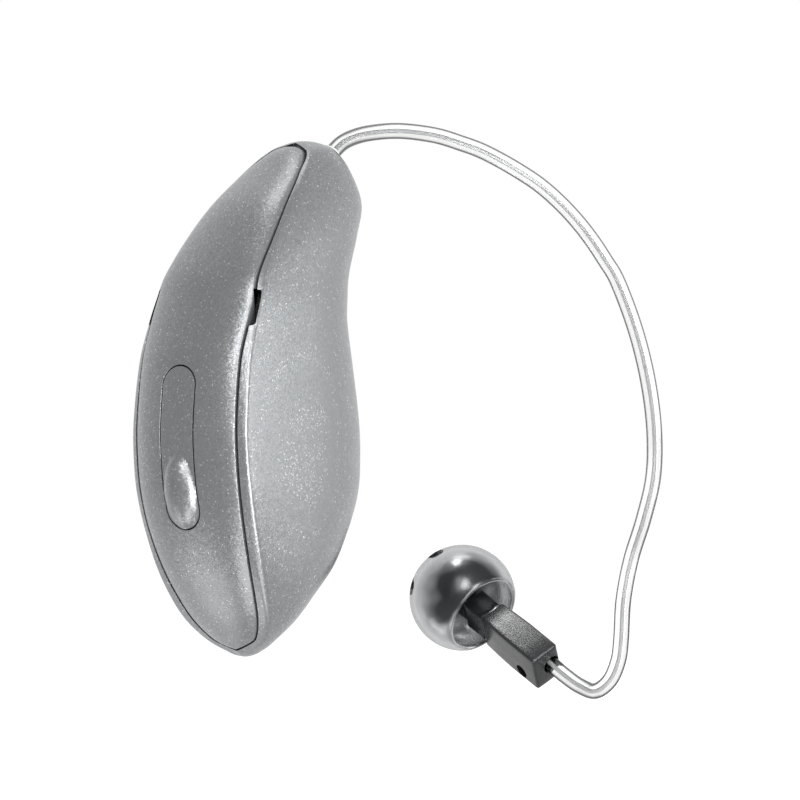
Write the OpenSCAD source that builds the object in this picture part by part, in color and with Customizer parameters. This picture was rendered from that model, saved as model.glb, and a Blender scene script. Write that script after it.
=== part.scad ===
// Behind the ear hearing aid with a receiver in the ear canal, for the right ear.
// +X points forward to the ear's root, +Y to the head, -Y away from the head and +Z up.
// Inside the file heights count from the chin, and in_frame() puts the origin on the ear seat.

/* [Housing] */
// Height of the housing from its chin to its top
body_h = 28.6; // [26:0.1:32]
// Depth that the outline shares are multiplied by, spine to ear side
body_depth = 13.8; // [12.8:0.1:15.4]
// Thickness of the housing across its widest place
body_t = 8.4; // [8:0.1:9.4]
// Wall of the housing
wall = 0.8; // [0.6:0.05:0.9]
// Wall of the spine cover
cover_wall = 0.7; // [0.5:0.05:0.8]
// Gap between the spine cover and the housing, seen as the dark groove
cover_gap = 0.14; // [0.08:0.01:0.2]
// Depth of the seat that the spine cover's rim stands in
skirt_d = 1.1; // [0.9:0.05:1.4]
// Width of the ledge under the spine cover's rim
ledge_w = 0.5; // [0.4:0.05:0.7]
// Height of the ear seat above the chin
seat_z = 18.5; // [17:0.1:20]

/* [Push button] */
// Width of the push button
button_w = 2.2; // [1.8:0.1:2.6]
// Length of the push button along the spine
button_l = 9; // [8.5:0.1:9.6]
// Wall of the push button
button_wall = 0.6; // [0.5:0.05:0.65]
// Gap round the push button in its window
button_gap = 0.11; // [0.08:0.01:0.16]
// How far the thumb bump stands out of the cover's surface
bump_rise = 0.62; // [0.4:0.02:0.8]
// Length of the thumb bump
bump_l = 4.3; // [3.6:0.1:4.8]
// Diameter of the hinge pin
pin_d = 0.5; // [0.4:0.05:0.6]
// Radial clearance of the push button on its hinge pin
pin_clear = 0.03; // [0.02:0.01:0.05]
// Depth of the hinge pin's axis under the spine
pin_depth = 1.5; // [1.45:0.05:1.55]

/* [Switch] */
// Side of the square switch base
switch_side = 2.6; // [2.2:0.1:3]
// Diameter of the switch plunger
plunger_d = 0.9; // [0.7:0.05:1]

/* [Power] */
// Least width of the chassis's rim round the battery cell
cell_rim = 0.8; // [0.6:0.05:1]
// Gap between the battery cell and the main board's bay
cell_gap = 0.7; // [0.5:0.05:0.9]
// Outer diameter of the charging coil
coil_d = 5.2; // [4.4:0.1:5.4]

/* [Chassis and board] */
// Room beside the chassis for the coil, the antenna and the chips
side_room = 0.9; // [0.8:0.05:1]
// Depth of the chassis's rear face under the spine
chassis_depth = 2.1; // [2.05:0.05:2.3]
// Gap between the chassis and the inside of the housing
chassis_gap = 0.3; // [0.25:0.05:0.4]
// Thickness of the chassis's edge, which fits the housing's round front
chassis_edge_t = 2.4; // [2:0.1:2.6]
// How far the chassis's thick middle stays back from its front
chassis_step = 1.5; // [1.4:0.1:2]
// Thickness of the main board
board_t = 0.4; // [0.3:0.05:0.5]
// Width of the rim that the main board lies on
board_rim = 0.5; // [0.4:0.05:0.6]

/* [Microphones] */
// Length of a microphone can
mic_l = 2.2; // [2:0.1:2.4]
// Width of a microphone can
mic_w = 1.8; // [1.6:0.1:2]
// Thickness of a microphone can
mic_t = 0.8; // [0.7:0.05:0.85]
// Wall of the rubber boots that hold the microphones
boot_wall = 0.15; // [0.1:0.05:0.2]
// Length of the sound slot on each side
slot_l = 2; // [1.6:0.1:2.2]
// Width of the sound slot on each side, beside the cover's edge
slot_w = 0.3; // [0.25:0.01:0.34]

/* [Wire and its socket] */
// Diameter of the clear receiver wire
wire_d = 0.9; // [0.8:0.05:1]
// Rise of the wire's exit above the level
exit_rise = 32; // [28:1:36]
// Diameter of the white exit collar
collar_d = 1.3; // [1.2:0.05:1.4]
// Length of the white exit collar
collar_l = 1.6; // [1.4:0.1:1.8]
// Diameter of the wire's plug
plug_d = 1.2; // [1.1:0.05:1.25]
// Length of the wire's plug behind its collar
plug_l = 2.6; // [2.4:0.1:2.8]
// Radial clearance of the plug in its socket
plug_clear = 0.04; // [0.03:0.01:0.06]
// Wall of the wire socket
socket_wall = 0.35; // [0.3:0.05:0.4]

/* [Receiver] */
// Width of the receiver shell
receiver_w = 1.8; // [1.75:0.05:1.95]
// Height of the receiver shell
receiver_h = 2.45; // [2.4:0.05:2.7]
// Length of the receiver shell
receiver_l = 4.6; // [4.4:0.1:5]
// Length of the receiver's nose
nose_l = 1.8; // [1.6:0.1:2.1]
// Wall of the receiver shell and nose
receiver_wall = 0.24; // [0.2:0.01:0.28]
// Diameter of the retention hole
retention_d = 0.84; // [0.7:0.02:0.9]
// Diameter of the sound nozzle
nozzle_d = 1.6; // [1.5:0.05:1.7]
// Length of the sound nozzle
nozzle_l = 3.7; // [3.5:0.1:3.8]
// Bore of the sound nozzle
nozzle_bore = 1; // [0.9:0.05:1.1]

/* [Ear dome] */
// Outer diameter of the ear dome
dome_d = 5.95; // [5:0.05:8]
// Wall of the ear dome
dome_wall = 0.2; // [0.15:0.01:0.3]
// Diameter of the ear dome's mouth
mouth_d = 4.7; // [4:0.1:4.8]
// Number of vents round the ear dome's tip
vent_count = 6; // [3:1:7]
// Width of a vent
vent_w = 0.8; // [0.6:0.05:0.9]

/* [Hidden] */

// Outline of the housing at each level, as shares. The columns are: level of body_h;
// spine x, cover edge x and ridge x of body_depth; half width of cover edge, ridge and
// widest place of body_t / 2; widest place x and front x of body_depth.
outline_shares = [
    [0,     -0.025, -0.025, -0.025, 0,     0,     0,     -0.03,  -0.025],
    [0.012, -0.083, -0.071, -0.065, 0.083, 0.226, 0.285, -0.036,  0.007],
    [0.033, -0.134, -0.103, -0.09,  0.329, 0.488, 0.525, -0.054,  0.04],
    [0.07,  -0.207, -0.159, -0.148, 0.517, 0.695, 0.731, -0.036,  0.128],
    [0.115, -0.275, -0.219, -0.209, 0.626, 0.802, 0.845, -0.014,  0.232],
    [0.175, -0.348, -0.288, -0.27,  0.714, 0.886, 0.929,  0.007,  0.37],
    [0.25,  -0.414, -0.352, -0.326, 0.781, 0.94,  0.976,  0.014,  0.467],
    [0.32,  -0.455, -0.391, -0.366, 0.812, 0.967, 1,      0.014,  0.525],
    [0.385, -0.474, -0.409, -0.386, 0.817, 0.964, 1,      0.014,  0.534],
    [0.455, -0.478, -0.413, -0.39,  0.814, 0.955, 1,      0.018,  0.52],
    [0.575, -0.446, -0.383, -0.357, 0.802, 0.929, 0.976,  0.029,  0.471],
    [0.65,  -0.388, -0.328, -0.301, 0.798, 0.905, 0.945,  0.043,  0.446],
    [0.69,  -0.352, -0.292, -0.265, 0.793, 0.888, 0.924,  0.065,  0.453],
    [0.74,  -0.304, -0.253, -0.222, 0.752, 0.838, 0.881,  0.101,  0.478],
    [0.815, -0.193, -0.133, -0.101, 0.679, 0.743, 0.81,   0.188,  0.556],
    [0.88,  -0.074, -0.008,  0.03, 0.576, 0.652, 0.714,  0.29,   0.609],
    [0.945,  0.105,  0.151,  0.175, 0.41,  0.493, 0.56,   0.346,  0.549],
    [0.98,   0.205,  0.243,  0.26,  0.24,  0.335, 0.405,  0.362,  0.485],
    [0.991,  0.268,  0.284,  0.295, 0.12,  0.22,  0.28,   0.362,  0.445],
    [1,      0.355,  0.355,  0.355, 0,     0,     0,      0.355,  0.355]
];
// How far the round corner of the front reaches, as a share of the quarter's sides
corner_share = 0.56;
corner_more_share = 0.18;
// Handle places of the curves across the cover and along the flank
cover_curve_shares = [0.5, 0.85, 0.45];
flank_curve_shares = [0.35, 0.75, 0.7];
// Levels between which the cover's hollow and the housing's cavity reach
hollow_level_shares = [0.035, 0.962];
cavity_level_shares = [0.05, 0.961];
// Levels of the chassis, its thick middle, the board's bay and the antenna
chassis_level_shares = [0.15, 0.797];
middle_level_shares = [0.19, 0.735];
bay_level_shares = [0.524, 0.773];
antenna_level_shares = [0.3, 0.76];
// Levels of the push button's lower end, the battery cell's room and the sound slots
button_level_share = 0.2483;
cell_level_share = 0.342;
slot_level_share = 0.676;
// Stretch of level over which the spine's tilt is read
tilt_share = 0.01;

cover_steps = 6;
flank_steps = 4;
front_steps = 9;
level_steps = 32;
hollow_steps = 22;
outline_steps = 10;
round_faces = 32;
small_faces = 24;

far = body_depth + body_h;
overrun = body_t / 20;
touch_gap = wall / 16;

// The receiver lies where the wire brings it, in the ear canal, medial and above the wire's loop
receiver_at = [21.8, -4, -0.7];
receiver_turn = 3.4;
receiver_rise = 31.4;
receiver_roll = -40.5;
receiver_axis = [
    sin(receiver_turn) * cos(receiver_rise),
    cos(receiver_turn) * cos(receiver_rise),
    sin(receiver_rise)
];
receiver_side = [cos(receiver_turn), -sin(receiver_turn), 0];
receiver_down = cross(receiver_axis, receiver_side);
receiver_wide = cos(receiver_roll) * receiver_side + sin(receiver_roll) * receiver_down;

exit_x = body_depth * 0.529;
exit_z = body_h * 0.9755;

// Where the wire enters the receiver's rear face, beside its middle
entry_shift = receiver_w / 6;
entry_d = wire_d + wall / 4;
entry_depth = receiver_wall * 3;
entry_point = receiver_at + entry_shift * receiver_wide;

// Route of the clear wire: over the ear's root, down in front of it and in to the ear canal
wire_route = concat(
    [[exit_x, 0, exit_z]],
    [
        [8.4, 0, 28.55], [9.7, -0.15, 28.95], [11.1, -0.5, 29.15], [12.3, -0.95, 29.2],
        [13.5, -1.45, 29.1], [14.6, -2, 28.9], [15.7, -2.55, 28.55], [16.8, -3.1, 28.15],
        [17.9, -3.65, 27.6], [18.95, -4.25, 26.95], [20, -4.85, 26.2], [21, -5.45, 25.25],
        [21.9, -6, 24.2], [22.65, -6.5, 23.1], [23.25, -6.95, 22], [23.8, -7.35, 20.9],
        [24.5, -7.9, 18.65], [25, -8.3, 16.45], [25.3, -8.6, 14.2], [25.35, -8.8, 12],
        [25, -8.95, 9.8], [24, -9.05, 7.55], [22.75, -9.15, 5.35], [22.05, -9.15, 3.1],
        [21.9, -9.1, 0.9], [21.9, -8.9, -0.3], [21.85, -8.35, -1.4], [21.85, -7.35, -2],
        [21.95, -6.2, -1.75], [22, -5.05, -1.15]
    ],
    [entry_point, entry_point + entry_depth * receiver_axis]
);

function unit(v) = v / norm(v);
function reversed(list) = [for (i = [len(list) - 1:-1:0]) list[i]];
function bezier(a, b, c, d, t) =
    pow(1 - t, 3) * a + 3 * pow(1 - t, 2) * t * b + 3 * (1 - t) * pow(t, 2) * c + pow(t, 3) * d;
function between(ends, t) = ends[0] + (ends[1] - ends[0]) * t;

// Smooth reading of the outline table: one column at any level
last_row = len(outline_shares) - 1;
function row_below(level, i = 0) =
    i >= last_row - 1 || level < outline_shares[i + 1][0] ? i : row_below(level, i + 1);
function column_slope(column, i) =
    let (low = max(i - 1, 0), high = min(i + 1, last_row))
    (outline_shares[high][column] - outline_shares[low][column])
    / (outline_shares[high][0] - outline_shares[low][0]);
function share_at(column, level) =
    let (
        i = row_below(level),
        step = outline_shares[i + 1][0] - outline_shares[i][0],
        t = (level - outline_shares[i][0]) / step
    )
    (2 * pow(t, 3) - 3 * pow(t, 2) + 1) * outline_shares[i][column]
    + (pow(t, 3) - 2 * pow(t, 2) + t) * step * column_slope(column, i)
    + (3 * pow(t, 2) - 2 * pow(t, 3)) * outline_shares[i + 1][column]
    + (pow(t, 3) - pow(t, 2)) * step * column_slope(column, i + 1);

function spine_x(level) = body_depth * share_at(1, level);
function edge_x(level) = body_depth * share_at(2, level);
function ridge_x(level) = body_depth * share_at(3, level);
function edge_y(level) = body_t / 2 * max(share_at(4, level), 0);
function ridge_y(level) = body_t / 2 * max(share_at(5, level), 0);
function wide_y(level) = body_t / 2 * max(share_at(6, level), 0);
function wide_x(level) = body_depth * share_at(7, level);
function front_x(level) = body_depth * share_at(8, level);
function corner_at(level) = corner_share + corner_more_share * sin(180 * level);
function skirt_at(level) = min(skirt_d, edge_y(level) * 0.6);
function spine_tilt(level) =
    atan((spine_x(level + tilt_share) - spine_x(level - tilt_share)) / (2 * tilt_share * body_h));

// Depth of the chassis's rear face, square to the spine
function chassis_under(level) = chassis_depth * cos(spine_tilt(level));

// One side of a section, from the spine round to the front
function cover_arc(spine, edge, half, steps) = [
    for (i = [0:steps])
        bezier(
            [spine, 0],
            [spine, half * cover_curve_shares[0]],
            [spine + (edge - spine) * cover_curve_shares[2], half * cover_curve_shares[1]],
            [edge, half],
            i / steps
        )
];
function flank_arc(a, b, steps) = [
    for (i = [1:steps])
        bezier(
            a,
            [between([a[0], b[0]], flank_curve_shares[0]), between([a[1], b[1]], flank_curve_shares[1])],
            [between([a[0], b[0]], flank_curve_shares[2]), b[1]],
            b,
            i / steps
        )
];
function front_arc(a, front, corner, steps) = [
    for (i = [1:steps])
        bezier(a, [between([a[0], front], corner), a[1]], [front, a[1] * corner], [front, 0], i / steps)
];
function outer_half(level) = concat(
    cover_arc(spine_x(level), edge_x(level), edge_y(level), cover_steps),
    [[ridge_x(level), ridge_y(level)]],
    flank_arc([ridge_x(level), ridge_y(level)], [wide_x(level), wide_y(level)], flank_steps),
    front_arc([wide_x(level), wide_y(level)], front_x(level), corner_at(level), front_steps)
);
function cavity_half(level) =
    let (
        back = [edge_x(level) + skirt_at(level), edge_y(level) - ledge_w],
        wide = [wide_x(level), wide_y(level) - wall]
    )
    concat(
        [[back[0] - cover_gap, 0], [back[0] - cover_gap, back[1]], back],
        flank_arc(back, wide, flank_steps),
        front_arc(wide, front_x(level) - wall, corner_at(level), front_steps)
    );
function opening_half(level, gap) = [
    [-far, 0],
    [-far, edge_y(level) + gap],
    [edge_x(level) + skirt_at(level) - cover_gap + gap, edge_y(level) + gap],
    [edge_x(level) + skirt_at(level) - cover_gap + gap, 0]
];
function hollow_half(level) = concat(
    cover_arc(
        spine_x(level) + cover_wall,
        edge_x(level) + cover_wall,
        edge_y(level) - ledge_w,
        cover_steps
    ),
    [[far, edge_y(level) - ledge_w], [far, 0]]
);
function closed_ring(half, z) = concat(
    [for (p = half) [p[0], p[1], z]],
    [for (i = [len(half) - 2:-1:1]) [half[i][0], -half[i][1], z]]
);
function middle(ring) = between(
    [
        [for (k = [0:2]) min([for (p = ring) p[k]])],
        [for (k = [0:2]) max([for (p = ring) p[k]])]
    ],
    0.5
);

// Closed surface through a stack of rings, with a point at each end
module skin(rings, low, high) {
    n = len(rings[0]);
    m = len(rings);
    points = concat([low], [for (r = rings) each r], [high]);
    sides = [
        for (i = [0:m - 2], j = [0:n - 1])
            let (a = 1 + i * n + j, b = 1 + i * n + (j + 1) % n)
            each [[a, b, b + n], [a, b + n, a + n]]
    ];
    ends = [
        for (j = [0:n - 1])
            each [
                [0, 1 + (j + 1) % n, 1 + j],
                [m * n + 1, 1 + (m - 1) * n + j, 1 + (m - 1) * n + (j + 1) % n]
            ]
    ];
    polyhedron(points = points, faces = concat(sides, ends), convexity = 10);
}

// Joins its children into one smooth mesh of flat faces
module one_mesh() {
    resize([0, 0, 0]) children();
}

module in_frame() {
    translate([-front_x(seat_z / body_h), 0, -seat_z]) children();
}

// Local +Z runs out along the wire at its exit
module at_exit() {
    translate([exit_x, 0, exit_z]) rotate([0, 90 - exit_rise, 0]) children();
}

// Local +Z runs from the receiver's rear face to the dome, +X across and +Y down its height
module at_receiver() {
    translate(receiver_at)
        rotate([0, 0, -receiver_turn])
            rotate([receiver_rise - 90, 0, 0])
                rotate([0, 0, receiver_roll])
                    children();
}

// Local +X runs square into the body from the spine at a level, +Z up along the spine
module on_spine(level) {
    translate([spine_x(level), 0, level * body_h]) rotate([0, spine_tilt(level), 0]) children();
}

// Cylinder along local X between two depths
module post(r, from, to, faces = small_faces) {
    translate([from, 0, 0]) rotate([0, 90, 0]) cylinder(r = r, h = to - from, $fn = faces);
}

// Levels of the rings: close together toward both ends
function ring_level(i) = (1 - cos(180 * i / level_steps)) / 2;

module outer_form() {
    rings = [
        for (i = [1:level_steps - 1]) closed_ring(outer_half(ring_level(i)), ring_level(i) * body_h)
    ];
    skin(
        rings,
        [spine_x(0), 0, 0],
        [spine_x(1), 0, body_h]
    );
}

module cavity_form() {
    rings = [
        for (i = [0:hollow_steps])
            let (level = between(cavity_level_shares, i / hollow_steps))
            closed_ring(cavity_half(level), level * body_h)
    ];
    skin(rings, middle(rings[0]), middle(rings[hollow_steps]));
}

// The leaf outline of the spine cover, grown by a gap, from behind down to its seat
leaf_ends = [2, level_steps - 2];
module leaf_form(gap) {
    rings = [
        for (i = [leaf_ends[0]:leaf_ends[1]])
            let (level = ring_level(i), lift = i == leaf_ends[0] ? -gap : i == leaf_ends[1] ? gap : 0)
            closed_ring(opening_half(level, gap), level * body_h + lift)
    ];
    skin(rings, middle(rings[0]), middle(rings[len(rings) - 1]));
}

module hollow_form() {
    rings = [
        for (i = [0:hollow_steps])
            let (level = between(hollow_level_shares, i / hollow_steps))
            closed_ring(hollow_half(level), level * body_h)
    ];
    skin(rings, middle(rings[0]), middle(rings[hollow_steps]));
}

// Round-ended sound slots beside the cover, cut as a wide stretch of its groove
slot_steps = 12;
module slot_form() {
    rings = [
        for (i = [0:slot_steps])
            let (
                level = slot_level_share + (i / slot_steps - 0.5) * slot_l / body_h,
                grow = slot_w * sqrt(sin(180 * (i + 0.5) / (slot_steps + 1)))
            )
            closed_ring(opening_half(level, grow), level * body_h)
    ];
    skin(rings, middle(rings[0]), middle(rings[slot_steps]));
}

module main_housing() {
    color("darkgray")
        one_mesh()
            difference() {
                outer_form();
                cavity_form();
                leaf_form(cover_gap);
                slot_form();
                at_exit()
                    translate([0, 0, -collar_l - plug_l])
                        cylinder(
                            d = collar_d + 2 * plug_clear,
                            h = 2 * (collar_l + plug_l),
                            $fn = round_faces
                        );
            }
}

// Long round-ended prism through the spine, round the push button's place
button_low = button_level_share * body_h;
module button_prism(grow, from, to) {
    r = button_w / 2 + grow;
    hull()
        for (z = [button_low + button_w / 2, button_low + button_l - button_w / 2])
            translate([0, 0, z]) post(r, from, to, round_faces);
}

// Ducts from the side slots in to the rear microphone, through the cover's rim
duct_w = slot_l * 0.6;
module cover_ducts() {
    translate([edge_x(slot_level_share) + skirt_d / 2, 0, slot_level_share * body_h])
        translate([0, -body_t, -duct_w / 2])
            cube([skirt_d, 2 * body_t, duct_w]);
}

module spine_cover() {
    color("gray")
        one_mesh()
            difference() {
                intersection() {
                    outer_form();
                    leaf_form(0);
                }
                hollow_form();
                button_prism(button_gap, -far, far);
                cover_ducts();
            }
}

// The hinge pin lies across the spine under the push button's upper end
pin_level = (button_low + button_l - button_w * 0.41) / body_h;
pin_x = spine_x(pin_level) + pin_depth;
pin_z = pin_level * body_h;
barrel_r = pin_d / 2 + pin_clear + wall / 4;
arm_w = button_w * 0.6;
ear_gap = wall / 8;
ear_w = wall * 0.6;

// Depths under the spine of the button's nub, the switch's plunger and its base
switch_level = (button_low + button_w * 0.7) / body_h;
nub_depth = button_wall + wall / 2;
plunger_out = nub_depth + touch_gap;
switch_face = plunger_out + wall * 0.3;
switch_t = chassis_under(switch_level) - touch_gap - switch_face;
disc_t = wall * 0.08;

bump_level = (button_low + bump_l * 0.454) / body_h;

module push_button() {
    color("gray")
        difference() {
            union() {
                one_mesh()
                    difference() {
                        intersection() {
                            union() {
                                outer_form();
                                thumb_bump();
                            }
                            button_prism(0, -far, 0);
                        }
                        translate([button_wall, 0, 0]) outer_form();
                    }
                translate([spine_x(pin_level) + button_wall / 2, -arm_w / 2, pin_z - barrel_r])
                    cube([pin_depth - button_wall / 2, arm_w, 2 * barrel_r]);
                translate([pin_x, arm_w / 2, pin_z])
                    rotate([90, 0, 0])
                        cylinder(r = barrel_r, h = arm_w, $fn = round_faces);
                on_spine(switch_level) post(plunger_d / 2, button_wall / 2, nub_depth);
            }
            translate([pin_x, body_t / 2, pin_z])
                rotate([90, 0, 0])
                    cylinder(r = pin_d / 2 + pin_clear, h = body_t, $fn = round_faces);
        }
}

module thumb_bump() {
    reach = bump_rise + button_wall / 2;
    on_spine(bump_level)
        translate([button_wall / 2, 0, 0])
            scale([reach, button_w / 2, bump_l / 2])
                sphere(r = 1, $fn = small_faces);
}

gasket_w = wall * 0.7;
gasket_t = wall * 0.15;
module button_gasket() {
    color("dimgray")
        one_mesh()
            difference() {
                intersection() {
                    button_prism(button_gap + gasket_w, -far, 0);
                    translate([touch_gap, 0, 0]) hollow_form();
                }
                translate([touch_gap + gasket_t, 0, 0]) hollow_form();
                button_prism(button_gap, -far, far);
            }
}

module hinge_pin() {
    color("silver")
        translate([pin_x, arm_w / 2 + ear_gap + ear_w, pin_z])
            rotate([90, 0, 0])
                cylinder(d = pin_d, h = arm_w + 2 * (ear_gap + ear_w), $fn = small_faces);
}

chassis_t = body_t - 2 * (wall + side_room);

// Outline of the chassis in side view, or the same drawn in by insets behind and in front
function chassis_side(levels, inset, front_inset) = concat(
    [
        for (i = [0:outline_steps])
            let (level = between(levels, i / outline_steps))
            [spine_x(level) + chassis_depth + inset, level * body_h]
    ],
    [
        for (i = [outline_steps:-1:0])
            let (level = between(levels, i / outline_steps))
            [front_x(level) - wall - chassis_gap - front_inset, level * body_h]
    ]
);

// Plate in the side view's plane, between two places across the body
module side_plate(points, from, to) {
    translate([0, to, 0]) rotate([90, 0, 0]) linear_extrude(to - from) polygon(points);
}

// The battery cell fills the room between the chassis's rims, below the main board's bay
room_back = spine_x(cell_level_share) + chassis_depth;
room_front = front_x(cell_level_share) - wall - chassis_gap;
room_top = bay_level_shares[0] * body_h - cell_gap;
cell_d = min(
    room_front - room_back - 2 * cell_rim,
    room_top - chassis_level_shares[0] * body_h - cell_rim
);
cell_x = (room_front + room_back) / 2;
cell_z = room_top - cell_d / 2;
cell_clear = touch_gap;
pocket_floor = wall * 0.45;
cell_t = chassis_t - pocket_floor - 2 * touch_gap;
cell_y = [
    chassis_t / 2 - pocket_floor - touch_gap - cell_t,
    chassis_t / 2 - pocket_floor - touch_gap
];
board_y = board_t * 0.5;

module across(x, z, d, from, to, faces = 64) {
    translate([x, to, z]) rotate([90, 0, 0]) cylinder(d = d, h = to - from, $fn = faces);
}

// Cradle on the chassis's top, under the wire socket
socket_d = plug_d + 2 * (plug_clear + socket_wall);
socket_from = -collar_l - plug_l - socket_wall - touch_gap;
socket_to = -collar_l - plug_l * 0.38;
cradle_w = socket_d;
module socket_cradle() {
    base = chassis_level_shares[1] * body_h - overrun;
    place = [exit_x + socket_from * cos(exit_rise), exit_z + socket_from * sin(exit_rise)];
    along = [cos(exit_rise), sin(exit_rise)];
    foot = socket_d * 0.1;
    reach = (socket_to - socket_from) * 0.7;
    difference() {
        side_plate(
            [
                [place[0] - foot, base],
                place + foot * along,
                place + reach * along,
                [place[0] + reach * cos(exit_rise) + foot, base]
            ],
            -cradle_w / 2,
            cradle_w / 2
        );
        at_exit()
            translate([0, 0, socket_from - plug_l])
                cylinder(d = socket_d + 2 * touch_gap, h = 3 * plug_l, $fn = round_faces);
    }
}

module chassis() {
    color("darkslategray")
        difference() {
            union() {
                side_plate(
                    chassis_side(chassis_level_shares, 0, 0),
                    -chassis_edge_t / 2,
                    chassis_edge_t / 2
                );
                side_plate(
                    chassis_side(middle_level_shares, 0, chassis_step),
                    -chassis_t / 2,
                    chassis_t / 2
                );
                pin_ears();
                socket_cradle();
            }
            across(cell_x, cell_z, cell_d + 2 * cell_clear, -chassis_t, cell_y[1] + touch_gap);
            side_plate(
                chassis_side(bay_level_shares, board_rim, board_rim),
                -chassis_t,
                board_y + board_t / 2
            );
            side_plate(
                chassis_side(bay_level_shares, 2 * board_rim, 2 * board_rim),
                -chassis_t,
                chassis_t
            );
            translate([cell_x - tab_w / 2 - touch_gap, 0, cell_z - tab_l / 2 - touch_gap])
                cube([tab_w + 2 * touch_gap, chassis_t, tab_l + 2 * touch_gap]);
            translate([pin_x, body_t / 2, pin_z])
                rotate([90, 0, 0])
                    cylinder(d = pin_d + touch_gap / 2, h = body_t, $fn = round_faces);
        }
}

module pin_ears() {
    for (side = [-1, 1])
        translate([pin_x, side * (arm_w / 2 + ear_gap + ear_w / 2), pin_z]) {
            rotate([90, 0, 0])
                translate([0, 0, -ear_w / 2])
                    cylinder(r = barrel_r, h = ear_w, $fn = round_faces);
            translate([0, -ear_w / 2, -barrel_r])
                cube([chassis_depth - pin_depth + overrun, ear_w, 2 * barrel_r]);
        }
}

tab_w = cell_d * 0.22;
tab_l = cell_d * 0.5;
tab_t = wall / 6;

module battery_cell() {
    color("silver")
        union() {
            across(cell_x, cell_z, cell_d, cell_y[0] + tab_t * 2, cell_y[1]);
            across(cell_x, cell_z, cell_d * 0.86, cell_y[0], cell_y[0] + tab_t * 3);
        }
}

module cell_tab(from) {
    translate([cell_x - tab_w / 2, from, cell_z - tab_l / 2]) cube([tab_w, tab_t, tab_l]);
}

module positive_tab() {
    color("gold") cell_tab(cell_y[0] - tab_t);
}

module negative_tab() {
    color("gold") cell_tab(cell_y[1]);
}

ferrite_t = wall / 4;
coil_t = wall * 0.3;
coil_x = -body_depth * 0.015;
module ferrite_sheet() {
    color("black")
        across(coil_x, cell_z, coil_d, chassis_t / 2, chassis_t / 2 + ferrite_t);
}

module charging_coil() {
    color("orange")
        difference() {
            across(coil_x, cell_z, coil_d, chassis_t / 2 + ferrite_t, chassis_t / 2 + ferrite_t + coil_t);
            across(coil_x, cell_z, coil_d / 2, 0, body_t);
        }
}

module main_board() {
    color("green")
        side_plate(
            chassis_side(
                [bay_level_shares[0] + touch_gap / body_h, bay_level_shares[1] - touch_gap / body_h],
                board_rim + touch_gap,
                board_rim + touch_gap
            ),
            board_y - board_t / 2,
            board_y + board_t / 2
        );
}

// Chips lie on the main board: places as shares of its width and length, and sizes as shares
// of its width, the chassis's thickness and its length
bay_mid_share = between(bay_level_shares, 0.5);
board_back = spine_x(bay_mid_share) + chassis_depth + board_rim;
board_front = front_x(bay_mid_share) - wall - chassis_gap - board_rim;
board_w = board_front - board_back;
board_l = (bay_level_shares[1] - bay_level_shares[0]) * body_h;
board_mid = [(board_front + board_back) / 2, bay_mid_share * body_h];
module chip(place_shares, size_shares, side) {
    size = [board_w * size_shares[0], chassis_t * size_shares[1], board_l * size_shares[2]];
    y = side > 0 ? board_y + board_t / 2 : board_y - board_t / 2 - size[1];
    translate([
        board_mid[0] + board_w * place_shares[0] - size[0] / 2,
        y,
        board_mid[1] + board_l * place_shares[1] - size[2] / 2
    ])
        cube(size);
}

module processor_chip() {
    color("dimgray") chip([0.06, 0.04], [0.48, 0.21, 0.5], -1);
}

module radio_chip() {
    color("dimgray") chip([0.16, 0], [0.33, 0.14, 0.34], 1);
}

module memory_chip() {
    color("dimgray") chip([0.4, -0.02], [0.15, 0.13, 0.2], -1);
}

module power_chip() {
    color("dimgray") chip([0.04, -0.36], [0.25, 0.14, 0.2], -1);
}

antenna_t = chassis_gap / 3;
module antenna_strip() {
    color("goldenrod") {
        low = antenna_level_shares;
        front = [
            for (i = [0:outline_steps])
                let (level = between(low, i / outline_steps))
                [front_x(level) - wall - chassis_gap + touch_gap, level * body_h]
        ];
        side_plate(
            concat(front, reversed([for (p = front) [p[0] + antenna_t, p[1]]])),
            -chassis_edge_t * 0.33,
            chassis_edge_t * 0.33
        );
    }
}

coil_core_d = wall * 1.1;
telecoil_l = chassis_t * 0.62;
module telecoil() {
    color("brown")
        translate([
            body_depth * 0.41,
            telecoil_l / 2,
            chassis_level_shares[1] * body_h + coil_core_d * 0.65 + touch_gap
        ])
            rotate([90, 0, 0])
                union() {
                    cylinder(d = coil_core_d, h = telecoil_l, $fn = small_faces);
                    for (z = [0, telecoil_l * 0.85])
                        translate([0, 0, z])
                            cylinder(d = coil_core_d * 1.3, h = telecoil_l * 0.15, $fn = small_faces);
                }
}

// A microphone lies in its rubber boot, which sits against the chassis
module mic_can(from) {
    translate([from, -mic_w / 2, -mic_l / 2]) cube([mic_t, mic_w, mic_l]);
}

module mic_boot(from, port_r) {
    difference() {
        translate([from - boot_wall, -mic_w / 2 - boot_wall, -mic_l / 2 - boot_wall])
            cube([mic_t + boot_wall, mic_w + 2 * boot_wall, mic_l + 2 * boot_wall]);
        mic_can(from);
        post(port_r, from - 2 * boot_wall, from + boot_wall);
    }
}

rear_mic_depth = chassis_under(slot_level_share) - touch_gap - mic_t;
port_r = mic_w * 0.18;
module rear_microphone() {
    color("silver") on_spine(slot_level_share) mic_can(rear_mic_depth);
}

module rear_mic_boot() {
    color("dimgray") on_spine(slot_level_share) mic_boot(rear_mic_depth, port_r);
}

// The front microphone lies above the chassis, by most of its boot's length
front_mic_level = chassis_level_shares[1] + 0.8925 * (mic_l + 2 * boot_wall) / body_h;
front_mic_depth = cover_wall + wall / 4 + boot_wall;
module front_microphone() {
    color("silver") on_spine(front_mic_level) mic_can(front_mic_depth);
}

module front_mic_boot() {
    color("dimgray") on_spine(front_mic_level) mic_boot(front_mic_depth, port_r);
}

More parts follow.
